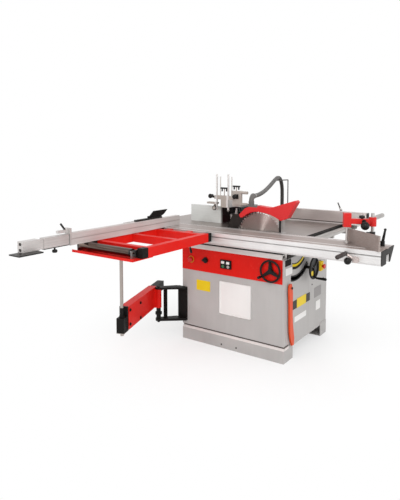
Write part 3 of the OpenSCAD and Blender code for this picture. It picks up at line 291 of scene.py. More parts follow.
BLACK = "#1c1a19"
DEEP = "#141211"
ALONG_X, ALONG_Y, ALONG_Z = (3, 260, 260), (260, 3, 260), (260, 260, 3)
FAR = 9.0  # a bound beyond every side of the machine
BLADE_CENTRE = (0.135, -0.194, 0.81)
BLADE_RIM = (0.166, 0.17)
SLIDE_TOP = (0.8494, 0.852)
# bands of painted highlight along the slot lips of the slide's top
SLOT_LIP_HIGHLIGHTS = ((-0.475, -0.4655), (-0.412, -0.402), (-0.254, -0.244), (-0.223, -0.213))


def blade_finish():
    """Ground disc: fine rings about the arbor, which draw each reflection out into a fan, and a paler rim."""
    finish = Finish("ground_blade", 1.0, 0.5)
    tree = finish.tree
    grooves = tree.nodes.new("ShaderNodeTangent")
    grooves.direction_type = "RADIAL"
    grooves.axis = "Y"
    tree.links.new(grooves.outputs["Tangent"], finish.shader.inputs["Tangent"])
    finish.shader.inputs["Anisotropic"].default_value = 0.92
    finish.shader.inputs["Anisotropic Rotation"].default_value = 0.25
    shift = tree.nodes.new("ShaderNodeVectorMath")
    shift.operation = "SUBTRACT"
    tree.links.new(finish.place, shift.inputs[0])
    shift.inputs[1].default_value = BLADE_CENTRE
    split = tree.nodes.new("ShaderNodeSeparateXYZ")
    tree.links.new(shift.outputs[0], split.inputs[0])
    across, up = split.outputs["X"], split.outputs["Z"]
    radius = math_node(tree, "SQRT", weighted(tree, across, across, up, up))
    rings = tree.nodes.new("ShaderNodeTexNoise")
    rings.noise_dimensions = "1D"
    rings.inputs["Scale"].default_value = 700
    tree.links.new(radius, rings.inputs["W"])
    colour = blend_colour(tree, rings.outputs["Fac"], srgb("#6d635f"), srgb("#a49a95"))
    colour = blend_colour(tree, remap(tree, radius, *BLADE_RIM), colour, srgb("#a79f9b"))
    return finish.use(colour, 0.28)


def slide_finish():
    """Drawn carriage: warm grey top, darker than the front as a painted reflection, with drawn streaks and painted
    highlights along the slot lips; pale front with a painted reflection that darkens it towards the far end.
    """
    finish = Finish("slide_profile", 0.35, 0.25)
    tree = finish.tree
    colour, rough = finish.grain("#e2e1e0", "#d0cdcc", ALONG_X, 0.28)
    # painted reflection: the front darkens towards the far end
    reflection_fade = remap(tree, finish.axes["X"], 0.25, -0.55, 0.0, 0.75)
    colour = blend_colour(tree, reflection_fade, colour, srgb("#98867f"))
    # top: drawn streaks over a darker warm grey, which is a painted reflection
    streaks = noise(tree, scaled_vector(tree, finish.place, (1.2, 70, 70)), 1.0, 4.0, 0.6)
    upper = blend_colour(tree, remap(tree, streaks, 0.35, 0.65), srgb("#93857f"), srgb("#a89b97"))
    colour = blend_colour(tree, finish.within({"Z": SLIDE_TOP}), colour, upper)
    # painted highlights along the slot lips
    for lip in SLOT_LIP_HIGHLIGHTS:
        colour = blend_colour(tree, finish.within({"Y": lip, "Z": SLIDE_TOP}), colour, srgb("#dfdad8"))
    return finish.use(colour, rough)


def rip_finish():
    """Drawn fence: a painted reflection that darkens it towards the far end and leaves it brighter towards the
    operator, with a painted highlight on the lower lip.
    """
    finish = Finish("rip_profile", 0.6, 0.4)
    tree = finish.tree
    colour, rough = finish.grain("#ddd5d2", "#c6bdb9", ALONG_X, 0.3)
    # painted reflection: darker towards the far end
    reflection_fade = remap(tree, finish.axes["X"], 0.55, 0.1, 0.0, 0.8)
    colour = finish.zoned(blend_colour(tree, reflection_fade, colour, srgb("#a89d99")), [
        ({"Z": (0.85, 0.8595)}, "#dcd8d6", 0.6),  # lower lip, a painted highlight
        ({"Y": (0.449, 0.4512), "Z": (0.86, 0.867)}, "#5d5552", 0.6),  # line above the lip
        ({"X": (0.692, FAR)}, DEEP, 0.0),  # end cap
    ])
    return finish.use(colour, rough)


# Paint, plastic and rubber
cabinet_grey = painted("cabinet_grey", "#b3b0ae", gloss=0.4, tone=0.07, zones=[
    ({"Y": (-0.372, -0.3), "Z": (0.09, 0.117)}, "#57504c", 0),  # recess above the front foot, painted dark as its shade
    ({"X": (0.41, 0.43), "Y": (0.0285, 0.0315), "Z": (0.1, 0.56)}, "#9d9895", 0),  # joint of the side panel
])
plinth_grey = painted("plinth_grey", "#b3b0ae", gloss=0.4, dust=0.08, tone=0.08, zones=[
    ({"Y": (-0.3735, -0.3), "Z": (0.086, 0.104)}, "#e0d9d6", 0),  # sloped upper edge, painted lighter as the light falling on it
])
signal_red = painted("signal_red", "#d81a10", tone=0.08, specular=0.12)
frame_red = painted("frame_red", "#d51b13", dust=0.03, tone=0.08, specular=0.15)
clamp_red = painted("clamp_red", "#cf2420", zones=[
    ({"Z": (0.8, 0.9545)}, "#c2bdba", 1),  # pressing rod
])
guard_red = painted("guard_red", "#d4282a", gloss=0.28, tone=0.05, zones=[
    ({"X": (0.28, 0.312), "Y": (-0.204, -0.197), "Z": (0.8, 0.9625)}, BLACK, 0),  # strip under the front corner
    ({"X": (0.0, 0.13), "Z": (1.018, 1.2)}, "#656260", 0),  # elbow of the hose
])
bracket_black = painted("bracket_black", DEEP, gloss=0.42, dust=0.02, specular=0.12)
tube_black = painted("tube_black", DEEP, gloss=0.4, dust=0.02, specular=0.12, zones=[
    ({"Z": (0.405, FAR)}, "#aea59f", 1),  # post above its block
    ({"Z": (0.0, 0.2425)}, "#b5aca6", 1),  # and below
])
knob_black = painted("knob_black", DEEP, gloss=0.3, dust=0.01, specular=0.2)
trim_black = painted("trim_black", "#171615", gloss=0.45, dust=0.02, specular=0.12, zones=[
    ({"X": (0.417, 0.46), "Y": (0.18, 0.25), "Z": (0.5, 0.6)}, "#e2be17", 0),  # box of the side emergency stop
])
cap_black = painted("cap_black", "#221f1e", gloss=0.45, dust=0.02, specular=0.15)
hood_dark = painted("hood_dark", "#2c1013", gloss=0.42, dust=0.03, specular=0.15, zones=[
    ({"X": (-0.15, 0)}, "#23282a", 0),  # right-hand end
])
stick_orange = painted("stick_orange", "#dd4a1c", gloss=0.34, tone=0.1)
button_red = painted("button_red", "#c81c18", gloss=0.25, dust=0.0, coat=0.3)
button_green = painted("button_green", "#3f6d49", gloss=0.25, dust=0.0, coat=0.3)
button_white = painted("button_white", "#a8a5a1", gloss=0.25, dust=0.0, coat=0.3)
cover_grey = painted("cover_grey", "#a5a2a0", gloss=0.4, tone=0.07)
louvre_grey = painted("louvre_grey", "#75716f", gloss=0.42, tone=0.1)
motor_grey = painted("motor_grey", "#5c6163", gloss=0.4, dust=0.12)
casting_grey = painted("casting_grey", "#67635f", gloss=0.55, dust=0.1, peel=0.0008)
duct_grey = painted("duct_grey", "#464442", gloss=0.45, dust=0.06)
hose_grey = painted("hose_grey", "#6c6a68", gloss=0.42, dust=0.02, tone=0.25, zones=[
    ({"Y": (0.5, FAR)}, "#393634", 0),  # length that hangs behind the stand, painted darker as shade
])
press_grey = painted("press_grey", "#b1a8a0", gloss=0.38, dust=0.03, specular=0.4, zones=[
    ({"X": (-0.304, -0.286), "Z": (0.95, FAR)}, "#cfccca", 1),  # thick rods, left and right
    ({"X": (-0.20, -0.182), "Z": (0.95, FAR)}, "#cfccca", 1),
    ({"X": (-0.268, -0.256), "Z": (1.075, FAR)}, "#c9c5c2", 1),  # thin rods
    ({"X": (-0.166, -0.154), "Z": (1.12, FAR)}, "#c9c5c2", 1),
    ({"X": (-0.35, -0.314), "Y": (-0.14, -0.06), "Z": (1.052, 1.088)}, DEEP, 0),  # clamping knobs
    ({"X": (-0.131, -0.095), "Y": (-0.14, -0.107), "Z": (1.057, 1.093)}, DEEP, 0),
    ({"X": (-0.26, -0.194), "Z": (1.1265, 1.141)}, DEEP, 0),  # tee grips
    ({"X": (-0.15, -0.086), "Z": (1.144, 1.16)}, DEEP, 0),
])
bare_white = painted("bare_white", "#e6e4e2", gloss=0.36, dust=0.01, tone=0.03)
bare_yellow = painted("bare_yellow", "#e3c51b", gloss=0.36, dust=0.02, tone=0.06)
bare_amber = painted("bare_amber", "#d0801c", gloss=0.36, dust=0.02, tone=0.06)
bare_grey = painted("bare_grey", "#918d8c", gloss=0.36, dust=0.02)
bare_dark = painted("bare_dark", "#3a3634", gloss=0.4, dust=0.02, specular=0.15)

# Bare metal
handle_finish = bare_metal("handle_bar", "#d3c6c2", "#b9aaa5", ALONG_X, 0.3, 0.6, zones=[
    ({"X": (0.8, 0.8765), "Y": (-0.7, -0.4875)}, "#2a2120", 0.0),  # grip
])
slide_profile = slide_finish()
beam_profile = bare_metal("beam_profile", "#dcd8d5", "#c4beba", ALONG_X, 0.32, 0.5, zones=[
    ({"Z": (0.7355, 0.9)}, BLACK, 0.0),  # rail inside the carriage, painted black as the shade in the gap under the carriage
])
fence_profile = bare_metal("fence_profile", "#d5d0ce", "#bfb8b5", ALONG_Y, 0.36, 0.3, zones=[
    ({"Z": (0.9245, FAR)}, DEEP, 0.0),  # bar that carries the flip stop
    ({"X": (-0.516, -0.511), "Z": (0.8855, 0.8925)}, "#b3aba8", 0.3),  # groove in the face, painted darker as its shade
])
tube_profile = bare_metal("tube_profile", "#d0ccca", "#b3adaa", ALONG_Y, 0.3, 0.6, zones=[
    ({"Z": (0.84, 0.8597)}, DEEP, 0.0),  # foot plate
])
stop_profile = bare_metal("stop_profile", "#d5d1cf", "#b9b4b1", ALONG_Y, 0.32, 0.6, zones=[
    ({"Y": (-FAR, -1.366), "Z": (0.949, FAR)}, DEEP, 0.0),  # lever
])
rip_profile = rip_finish()
mitre_plate = bare_metal("mitre_plate", "#a99d98", "#8d807a", (40, 40, 260), 0.36, 0.5)
table_iron = bare_metal("table_iron", "#a39792", "#80746f", (2, 60, 60), 0.22, 0.85, zones=[
    ({"X": (0.4985, 0.51)}, BLACK, 0.0),  # end face behind the guide bar
])
bright_steel = bare_metal("bright_steel", "#c9c6c4", "#9f9b98", ALONG_Z, 0.22)
post_steel = bare_metal("post_steel", "#cfccca", "#a5a19e", ALONG_Z, 0.2, zones=[
    ({"Z": (0.904, 0.9265)}, DEEP, 0.0),  # collar with its wing knob
])
stand_steel = bare_metal("stand_steel", "#6d6866", "#4b4745", ALONG_Z, 0.32)
roller_chrome = bare_metal("roller_chrome", "#7d6c64", "#2f2724", ALONG_X, 0.12, zones=[
    ({"X": (-0.6, -0.583)}, DEEP, 0.0),  # both ends
    ({"X": (-0.158, -0.14)}, DEEP, 0.0),
])
guide_bar = bare_metal("guide_bar", "#c6c2bf", "#9a9591", ALONG_Y, 0.25, zones=[
    ({"X": (0.49, 0.5075)}, BLACK, 0.0),  # strip along the table's edge
])
lever_steel = bare_metal("lever_steel", "#b5b1ae", "#8d8885", ALONG_Z, 0.25, zones=[
    ({"Z": (0.97, FAR)}, "#4b4846", 0.0),  # grip
])
dark_steel = bare_metal("dark_steel", "#3c3937", "#262321", ALONG_X, 0.35)
plate_pale = bare_metal("plate_pale", "#d9dbd8", "#c3c5c2", ALONG_X, 0.32, 0.4)
liner_steel = bare_metal("liner_steel", "#bdb3af", "#a1968f", ALONG_X, 0.3)
blade_steel = blade_finish()

LOOKS = {
    cabinet_grey: ["cabinet_shell"],
    plinth_grey: ["base_feet"],
    signal_red: ["front_band"],
    clamp_red: ["clamp_arm"],
    frame_red: ["outrigger_frame", "swing_arm"],
    guard_red: ["blade_guard"],
    bracket_black: ["arm_bracket", "outrigger_caps", "flip_stop"],
    tube_black: ["arm_tube"],
    knob_black: ["rise_wheel", "tilt_wheel", "slide_lock", "mitre_lever", "clamp_lever", "outrigger_clamp",
                 "selector_knob"],
    trim_black: ["panel_trim"],
    handle_finish: ["push_handle"],
    cap_black: ["slide_caps"],
    hood_dark: ["moulder_hood"],
    stick_orange: ["push_stick"],
    button_red: ["stop_front", "stop_side"],
    button_green: ["start_button"],
    button_white: ["off_button"],
    motor_grey: ["saw_motor"],
    casting_grey: ["trunnion_frame", "trunnion_rails", "arbor_block", "spindle_housing", "rip_head"],
    duct_grey: ["dust_manifold", "drive_belt"],
    press_grey: ["pressure_unit"],
    slide_profile: ["slide_carriage"],
    beam_profile: ["slide_beam"],
    fence_profile: ["crosscut_fence"],
    tube_profile: ["fence_tube"],
    stop_profile: ["end_stop"],
    rip_profile: ["rip_fence"],
    mitre_plate: ["mitre_fence"],
    table_iron: ["main_table"],
    bright_steel: ["saw_arbor", "roller_brackets", "lift_screw", "spindle_quill", "moulder_spindle", "motor_pulley",
                   "table_inserts"],
    post_steel: ["clamp_post"],
    stand_steel: ["hose_stand"],
    roller_chrome: ["roller"],
    guide_bar: ["rip_bar"],
    dark_steel: ["riving_knife"],
    lever_steel: ["rip_lever"],
    plate_pale: ["moulder_fence"],
    blade_steel: ["saw_blade"],
}
for finish, names in LOOKS.items():
    for name in names:
        nodes[name].data.materials.clear()
        nodes[name].data.materials.append(finish)

# Dust hose: the part's own route, in millimetres, with its first point inside the guard's elbow
ROUTE = [
    (61, -173, 1090), (56, -148, 1090), (42, -76, 1090), (27, 2, 1093), (8, 100, 1105), (-11, 198, 1125),
    (-30, 296, 1150), (-46, 374, 1172), (-57, 433, 1187), (-65, 472, 1193), (-75, 524, 1190), (-84, 570, 1172),
    (-91, 604, 1140), (-94, 622, 1098), (-95, 628, 1050), (-95, 628, 960), (-95, 628, 850), (-95, 628, 740),
    (-95, 628, 630), (-95, 625, 560), (-95, 612, 498), (-95, 586, 446), (-95, 550, 414), (-95, 510, 401),
    (-95, 470, 400)]
HOSE_R = 0.016
RIB_PITCH, RIB_DEPTH, PER_RIB = 0.009, 0.0013, 4
PER_SPAN = 5
SPLIT_AT = 16  # the front piece ends here, short enough to clear the table at full tilt


def smooth_path(points, per_span):
    """Catmull-Rom points through the given ones, in metres."""
    pts = [Vector(p) / 1000 for p in points]
    ends = [pts[0] * 2 - pts[1]] + pts + [pts[-1] * 2 - pts[-2]]
    path = []
    for i in range(len(pts) - 1):
        a, b, c, d = ends[i : i + 4]
        for k in range(per_span):
            t = k / per_span
            square, cube = 2 * a - 5 * b + 4 * c - d, 3 * b - a - 3 * c + d
            path.append(0.5 * (2 * b + (c - a) * t + square * t**2 + cube * t**3))
    return path + [pts[-1]]


def path_length(path):
    return sum((b - a).length for a, b in zip(path, path[1:]))


def even_path(path, step):
    """The same line with points a fixed step apart, both ends kept."""
    count = max(2, round(path_length(path) / step))
    gap = path_length(path) / count
    out, spare, last = [path[0]], 0.0, path[0]
    for point in path[1:]:
        while spare + (point - last).length >= gap and len(out) < count:
            last = last + (point - last).normalized() * (gap - spare)
            out.append(last)
            spare = 0.0
        spare += (point - last).length
        last = point
    return out + [path[-1]]


def hose_piece(name, path, sides=18):
    """Ribbed tube with a parallel frame, so that it doesn't twist."""
    line = even_path(path, RIB_PITCH / PER_RIB)
    verts, faces = [], []
    across = Vector((1, 0.2, 0)).normalized()
    for i, point in enumerate(line):
        ahead = (line[min(i + 1, len(line) - 1)] - line[max(i - 1, 0)]).normalized()
        across = (across - ahead * across.dot(ahead)).normalized()
        up = ahead.cross(across)
        radius = HOSE_R - RIB_DEPTH * (0.5 - 0.5 * math.cos(2 * math.pi * i / PER_RIB))
        for k in range(sides):
            angle = 2 * math.pi * k / sides
            verts.append(point + radius * (math.cos(angle) * across + math.sin(angle) * up))
    for i in range(len(line) - 1):
        for k in range(sides):
            a, b = i * sides + k, i * sides + (k + 1) % sides
            faces.append((a, b, b + sides, a + sides))
    faces.append(tuple(range(sides - 1, -1, -1)))
    faces.append(tuple((len(line) - 1) * sides + k for k in range(sides)))
    mesh = bpy.data.meshes.new(name)
    mesh.from_pydata(verts, [], faces)
    mesh.polygons.foreach_set("use_smooth", [True] * len(mesh.polygons))
    piece = bpy.data.objects.new(name, mesh)
    scene.collection.objects.link(piece)
    mesh.materials.append(hose_grey)
    return piece


whole = smooth_path(ROUTE, PER_SPAN)
front_path, rear_path = whole[: SPLIT_AT + 1], whole[SPLIT_AT:]
hose_front = hose_piece("hose_front", front_path)
hose_rear = hose_piece("hose_rear", rear_path)
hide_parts("dust_hose")
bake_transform(hose_front)
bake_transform(hose_rear)


# Pieces shaped on top of the frame
MERGE_WITHIN = 1e-6
SMOOTH_UP_TO = math.radians(35)
CORNER = 0.004  # usual rounding of a plate's corners
SQUARE_ON = 0.9  # a face's normal from which it counts as facing along an axis


def start_piece(name):
    piece = bpy.context.object
    piece.name = name
    piece.data.name = name
    return piece


def settle(piece, finish, body):
    """Apply the place, close the work and hand the piece to its body."""
    bpy.ops.object.mode_set(mode="EDIT")
    bpy.ops.mesh.select_all(action="SELECT")
    bpy.ops.mesh.remove_doubles(threshold=MERGE_WITHIN)
    bpy.ops.mesh.normals_make_consistent(inside=False)
    bpy.ops.object.mode_set(mode="OBJECT")
    bpy.ops.object.select_all(action="DESELECT")
    piece.select_set(True)
    bpy.context.view_layer.objects.active = piece
    bpy.ops.object.transform_apply(location=True, rotation=True, scale=True)
    bpy.ops.object.shade_smooth_by_angle(angle=SMOOTH_UP_TO)
    piece.data.materials.clear()
    piece.data.materials.append(finish)
    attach(piece, body)
    return piece


def sheet_plate(name, low, high, finish, body, round_off=CORNER):
    """Thin plate between two corners, with rounded corners and an inset loop on its broad faces."""
    centre = [(a + b) / 2 for a, b in zip(low, high)]
    size = [b - a for a, b in zip(low, high)]
    bpy.ops.object.select_all(action="DESELECT")
    bpy.ops.mesh.primitive_cube_add(size=1, location=centre)
    piece = start_piece(name)
    piece.scale = size
    bpy.ops.object.transform_apply(location=False, rotation=False, scale=True)
    thin = min(range(3), key=lambda i: size[i])
    bpy.ops.object.mode_set(mode="EDIT")
    bpy.ops.mesh.select_all(action="DESELECT")
    bpy.ops.object.mode_set(mode="OBJECT")
    for edge in piece.data.edges:
        a, b = (piece.data.vertices[v].co for v in edge.vertices)
        edge.select = abs((b - a)[thin]) > MERGE_WITHIN
    bpy.ops.object.mode_set(mode="EDIT")
    bpy.ops.mesh.select_mode(type="EDGE")
    bpy.ops.mesh.bevel(offset=round_off, segments=4, affect="EDGES")
    bpy.ops.mesh.select_all(action="DESELECT")
    bpy.ops.object.mode_set(mode="OBJECT")
    for face in piece.data.polygons:
        face.select = abs(face.normal[thin]) > SQUARE_ON
    bpy.ops.object.mode_set(mode="EDIT")
    bpy.ops.mesh.select_mode(type="FACE")
    bpy.ops.mesh.inset(thickness=size[thin] * 0.5, depth=0)
    return settle(piece, finish, body)


def turned(name, steps, at, along, finish, body, sides=24):
    """Round or many-sided piece drawn out step by step from (radius, height) pairs along a direction."""
    bpy.ops.object.select_all(action="DESELECT")
    bpy.ops.mesh.primitive_circle_add(vertices=sides, radius=steps[0][0], fill_type="NGON")
    piece = start_piece(name)
    bpy.ops.object.mode_set(mode="EDIT")
    bpy.ops.mesh.select_mode(type="FACE")
    bpy.ops.mesh.select_all(action="SELECT")
    radius, height = steps[0]
    bpy.ops.transform.translate(value=(0, 0, height))
    for wide, high in steps[1:]:
        bpy.ops.mesh.extrude_region_move(TRANSFORM_OT_translate={"value": (0, 0, high - height)})
        bpy.ops.transform.resize(value=(wide / radius, wide / radius, 1), center_override=(0, 0, high))
        radius, height = wide, high
    bpy.ops.object.mode_set(mode="OBJECT")
    piece.rotation_euler = Vector(along).to_track_quat("Z", "Y").to_euler()
    piece.location = at
    return settle(piece, finish, body)


def ring_band(name, centre, turn, radii, thick, finish, body, arc=(0, 360), count=72):
    """Flat ring or arc: a circle's edge drawn outwards, then given its thickness."""
    bpy.ops.object.select_all(action="DESELECT")
    bpy.ops.mesh.primitive_circle_add(vertices=count, radius=radii[0], fill_type="NOTHING")
    piece = start_piece(name)
    step = 360 / count
    if arc[1] - arc[0] < 360:
        bpy.ops.object.mode_set(mode="EDIT")
        bpy.ops.mesh.select_mode(type="VERT")
        bpy.ops.mesh.select_all(action="DESELECT")
        bpy.ops.object.mode_set(mode="OBJECT")
        for vertex in piece.data.vertices:
            angle = math.degrees(math.atan2(vertex.co.y, vertex.co.x))
            vertex.select = (angle - arc[0] + step / 2) % 360 > arc[1] - arc[0] + step
        bpy.ops.object.mode_set(mode="EDIT")
        bpy.ops.mesh.delete(type="VERT")
    bpy.ops.object.mode_set(mode="EDIT")
    bpy.ops.mesh.select_mode(type="EDGE")
    bpy.ops.mesh.select_all(action="SELECT")
    bpy.ops.mesh.extrude_region_move(TRANSFORM_OT_translate={"value": (0, 0, 0)})
    grow = radii[1] / radii[0]
    bpy.ops.transform.resize(value=(grow, grow, 1), center_override=(0, 0, 0))
    bpy.ops.mesh.select_mode(type="FACE")
    bpy.ops.mesh.select_all(action="SELECT")
    bpy.ops.mesh.extrude_region_move(TRANSFORM_OT_translate={"value": (0, 0, thick)})
    bpy.ops.object.mode_set(mode="OBJECT")
    piece.rotation_euler = turn.to_euler()
    piece.location = centre
    return settle(piece, finish, body)


def put_copy(piece, name, move, body):
    """A second piece of the same make, shifted or turned, with its own mesh."""
    copy = bpy.data.objects.new(name, piece.data.copy())
    copy.data.name = name
    copy.data.transform(move if isinstance(move, Matrix) else Matrix.Translation(move))
    scene.collection.objects.link(copy)
    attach(copy, body)


def put_copies(piece, stem, moves, body):
    """Further pieces of the same make, numbered on from the first."""
    for number, move in enumerate(moves, 2):
        put_copy(piece, f"{stem}_{number}", move, body)


def facing(normal, upright=(0, 0, 1)):
    """Turn that lays a piece's own Z along a direction and its Y upright."""
    out = Vector(normal).normalized()
    side = Vector(upright).cross(out).normalized()
    return Matrix((side, out.cross(side), out)).transposed()


# Outer faces of the cabinet: front panel, red band, right-hand side, its front column, back and far side
FRONT, BAND, PANE, COLUMN, BACK, FAR_SIDE = -0.374, -0.377, 0.418, 0.421, 0.374, -0.418
TO_FRONT, TO_RIGHT, TO_BACK, TO_FAR_SIDE = (0, -1, 0), (1, 0, 0), (0, 1, 0), (-1, 0, 0)
UPWARD, DOWNWARD = (0, 0, 1), (0, 0, -1)

# Blank plates on the front and the right-hand side: two corners, finish, slot and rounding
PLATES = [
    ("front_plate", (-0.085, FRONT - 0.0018, 0.255), (0.171, FRONT, 0.492), bare_white, "white_plastic", 0.008),
    ("front_yellow_plate", (-0.291, FRONT - 0.0015, 0.394), (-0.17, FRONT, 0.47), bare_yellow, "white_plastic", CORNER),
    ("column_plate", (COLUMN, -0.358, 0.594), (COLUMN + 0.0015, -0.26, 0.641), bare_white, "white_plastic", CORNER),
    ("side_strip", (PANE, -0.241, 0.333), (PANE + 0.0012, 0.053, 0.393), bare_dark, "black_plastic", CORNER),
    ("side_yellow_plate", (PANE, -0.172, 0.331), (PANE + 0.002, -0.018, 0.397), bare_yellow, "white_plastic", CORNER),
    ("side_white_plate", (PANE, -0.207, 0.237), (PANE + 0.0014, -0.011, 0.276), bare_white, "white_plastic", CORNER),
    ("side_grey_plate", (PANE, 0.134, 0.327), (PANE + 0.0014, 0.265, 0.403), bare_grey, "grey_plastic", CORNER),
    ("side_small_plate", (PANE, 0.17, 0.225), (PANE + 0.0014, 0.25, 0.293), bare_white, "white_plastic", CORNER),
]
for name, low, high, finish, slot, rounding in PLATES:
    sheet_plate(name, low, high, finish, "machine", rounding)

# Blank signs over the two push buttons
sign = sheet_plate("button_sign_left", (-0.067, BAND - 0.0112, 0.621), (-0.042, BAND - 0.01, 0.639), bare_white,
                   "machine", 0.002)
put_copy(sign, "button_sign_right", (0.042, 0, -0.001), "machine")

# Tilt scale: yellow arc with a dark inner rim, above the slot of the rise wheel
TILT_LINE = (PANE, -0.194, 0.85)
SCALE_ARC = (-107, -54)
ring_band("tilt_scale", TILT_LINE, facing(TO_RIGHT), (0.2035, 0.2195), 0.0016, bare_yellow,
          "machine", arc=SCALE_ARC, count=180)
ring_band("tilt_scale_rim", TILT_LINE, facing(TO_RIGHT), (0.197, 0.2033), 0.002, trim_black,
          "machine", arc=SCALE_ARC, count=180)

# Collar of the front emergency stop
ring_band("stop_collar", (-0.339, BAND, 0.616), facing(TO_FRONT), (0.0185, 0.0265), 0.002, bare_amber,
          "machine", count=40)

# Yellow plate on the rise wheel's dish
sheet_plate("wheel_plate", (0.483, -0.083, 0.546), (0.4842, -0.049, 0.578), bare_yellow,
            "rise_wheel")

# Screws and bolts
screw = turned("side_screw_1", [(0.0055, 0), (0.0055, 0.0012), (0.0048, 0.0026), (0.0028, 0.0034), (0.0024, 0.0022)],
               (PANE, 0.0897, 0.44), TO_RIGHT, dark_steel, "machine", 16)
put_copies(screw, "side_screw", [(0, 0.2149, 0.006), (0, 0.1457, 0.1527)], "machine")
plug = turned("plinth_plug_1", [(0.006, 0), (0.006, 0.001), (0.0045, 0.0016), (0.004, 0.0008)],
              (-0.0713, FRONT, 0.026), TO_FRONT, dark_steel, "machine", 16)
put_copies(plug, "plinth_plug", [(0.124, 0, 0.001)], "machine")

# Bolts on the swing arm's outer face and on the roller's bracket
SWING_TURN = math.radians(-69.7)
SWING_ALONG = Vector((math.cos(SWING_TURN), math.sin(SWING_TURN), 0))
SWING_OUT = Vector((-SWING_ALONG.y, SWING_ALONG.x, 0))
SWING_FACE = Vector((-0.55, -0.506, 0)) - 0.024 * SWING_OUT
bolt = turned("arm_bolt_1", [(0.011, 0), (0.011, 0.0016), (0.0082, 0.0016), (0.0082, 0.0066), (0.0068, 0.008)],
              SWING_FACE + 0.3 * SWING_ALONG + Vector((0, 0, 0.367)), SWING_OUT, bracket_black,
              "swing_arm", 18)
BOLT_SHIFTS = [0.18 * SWING_ALONG + Vector((0, 0, -0.09)), 0.18 * SWING_ALONG + Vector((0, 0, 0.005)), (0, 0, -0.105)]
put_copies(bolt, "arm_bolt", BOLT_SHIFTS, "swing_arm")
nut = turned("bracket_bolt_1", [(0.0095, 0), (0.0095, 0.001), (0.0072, 0.001), (0.0072, 0.0052), (0.006, 0.006)],
             (-0.139, -1.155, 0.825), TO_RIGHT, bright_steel, "outrigger", 6)
put_copies(nut, "bracket_bolt", [(0, 0, -0.02)], "outrigger")

# Knobs and grips
turned("clamp_knob", [(0.006, 0), (0.006, 0.003), (0.014, 0.004), (0.018, 0.008), (0.018, 0.015), (0.015, 0.02),
                      (0.008, 0.022)], (0.89, -0.291, 1.0045), UPWARD, knob_black, "clamp_arm")
turned("sleeve_knob", [(0.005, 0), (0.005, 0.012), (0.013, 0.014), (0.0155, 0.018), (0.0155, 0.027), (0.012, 0.031)],
       (-0.531, -1.46, 0.854), DOWNWARD, knob_black, "fence_tube")
turned("clamp_grip", [(0.0062, 0), (0.0078, 0.006), (0.0088, 0.02), (0.008, 0.031), (0.004, 0.035)],
       (-0.2577, -0.497, 0.7249), (0.276, 0, -0.961), knob_black, "outrigger_clamp", 16)

# Star knobs, tee legs and nose tyre of the pressure unit
star = turned("press_knob_left", [(0.015, 0), (0.0178, 0.003), (0.0178, 0.009), (0.014, 0.012), (0.006, 0.0125)],
              (-0.332, -0.132, 1.07), TO_FRONT, knob_black, "pressure_unit", 10)
put_copy(star, "press_knob_right", (0.219, 0, 0.005), "pressure_unit")
leg = turned("tee_leg_1", [(0.0045, 0), (0.0058, 0.006), (0.0058, 0.017), (0.004, 0.02)],
             (-0.246, -0.1, 1.128), DOWNWARD, knob_black, "pressure_unit", 14)
put_copies(leg, "tee_leg", [(0.04, 0, 0), (0.108, 0, 0.018), (0.148, 0, 0.018)], "pressure_unit")
ring_band("nose_tyre", (-0.313, -0.088, 0.977), facing(TO_FRONT), (0.0125, 0.0185), 0.024, knob_black,
          "pressure_unit", count=32)

# Arms of the tilt wheel: one is modelled and turned round the hub
HUB = Vector((0.324, -0.389, 0.619))
SPOKE_SIZE, SPOKE_TAPER, SPOKE_EDGE = (0.058, 0.011, 0.03), (1, 0.8, 0.5), 0.003
SPOKE_MIDDLE = Vector((0.041, 0, 0))
FIRST_SPOKE = 94


def wheel_arm(name, angle):
    """Tapered, eased arm over one spoke of the tilt wheel."""
    bpy.ops.object.select_all(action="DESELECT")
    bpy.ops.mesh.primitive_cube_add(size=1)
    piece = start_piece(name)
    piece.scale = SPOKE_SIZE
    bpy.ops.object.transform_apply(location=False, rotation=False, scale=True)
    bpy.ops.object.mode_set(mode="EDIT")
    bpy.ops.mesh.select_all(action="DESELECT")
    bpy.ops.object.mode_set(mode="OBJECT")
    for face in piece.data.polygons:
        face.select = face.normal.x > SQUARE_ON
    bpy.ops.object.mode_set(mode="EDIT")
    bpy.ops.mesh.select_mode(type="FACE")
    bpy.ops.transform.resize(value=SPOKE_TAPER, center_override=(SPOKE_SIZE[0] / 2, 0, 0))
    bpy.ops.mesh.select_all(action="SELECT")
    bpy.ops.mesh.bevel(offset=SPOKE_EDGE, segments=3, affect="EDGES")
    bpy.ops.object.mode_set(mode="OBJECT")
    turn = Matrix.Rotation(-math.radians(angle), 3, "Y")
    piece.rotation_euler = turn.to_euler()
    piece.location = HUB + turn @ SPOKE_MIDDLE
    return settle(piece, knob_black, "tilt_wheel")


def about_hub(angle):
    return Matrix.Translation(HUB) @ Matrix.Rotation(-math.radians(angle), 4, "Y") @ Matrix.Translation(-HUB)


arm = wheel_arm("wheel_arm_1", FIRST_SPOKE)
put_copies(arm, "wheel_arm", [about_hub(120), about_hub(240)], "tilt_wheel")

# Steel liner inside the guard, just behind the blade
LINER_CENTRE = (BLADE_CENTRE[0], -0.19, BLADE_CENTRE[2])
ring_band("guard_liner", LINER_CENTRE, facing(TO_FRONT), (0.168, 0.216), 0.0012, liner_steel,
          "rise_unit", arc=(38, 95), count=180)

# Dark plates on the end face of the fence's extension: painted shade standing in for its slot openings
slot_shade = sheet_plate("block_slot_shade_upper", (-0.541, -1.6912, 0.898), (-0.521, -1.69, 0.913), bare_dark,
                      "fence_tube", 0.003)
put_copy(slot_shade, "block_slot_shade_lower", (0, 0, -0.033), "fence_tube")

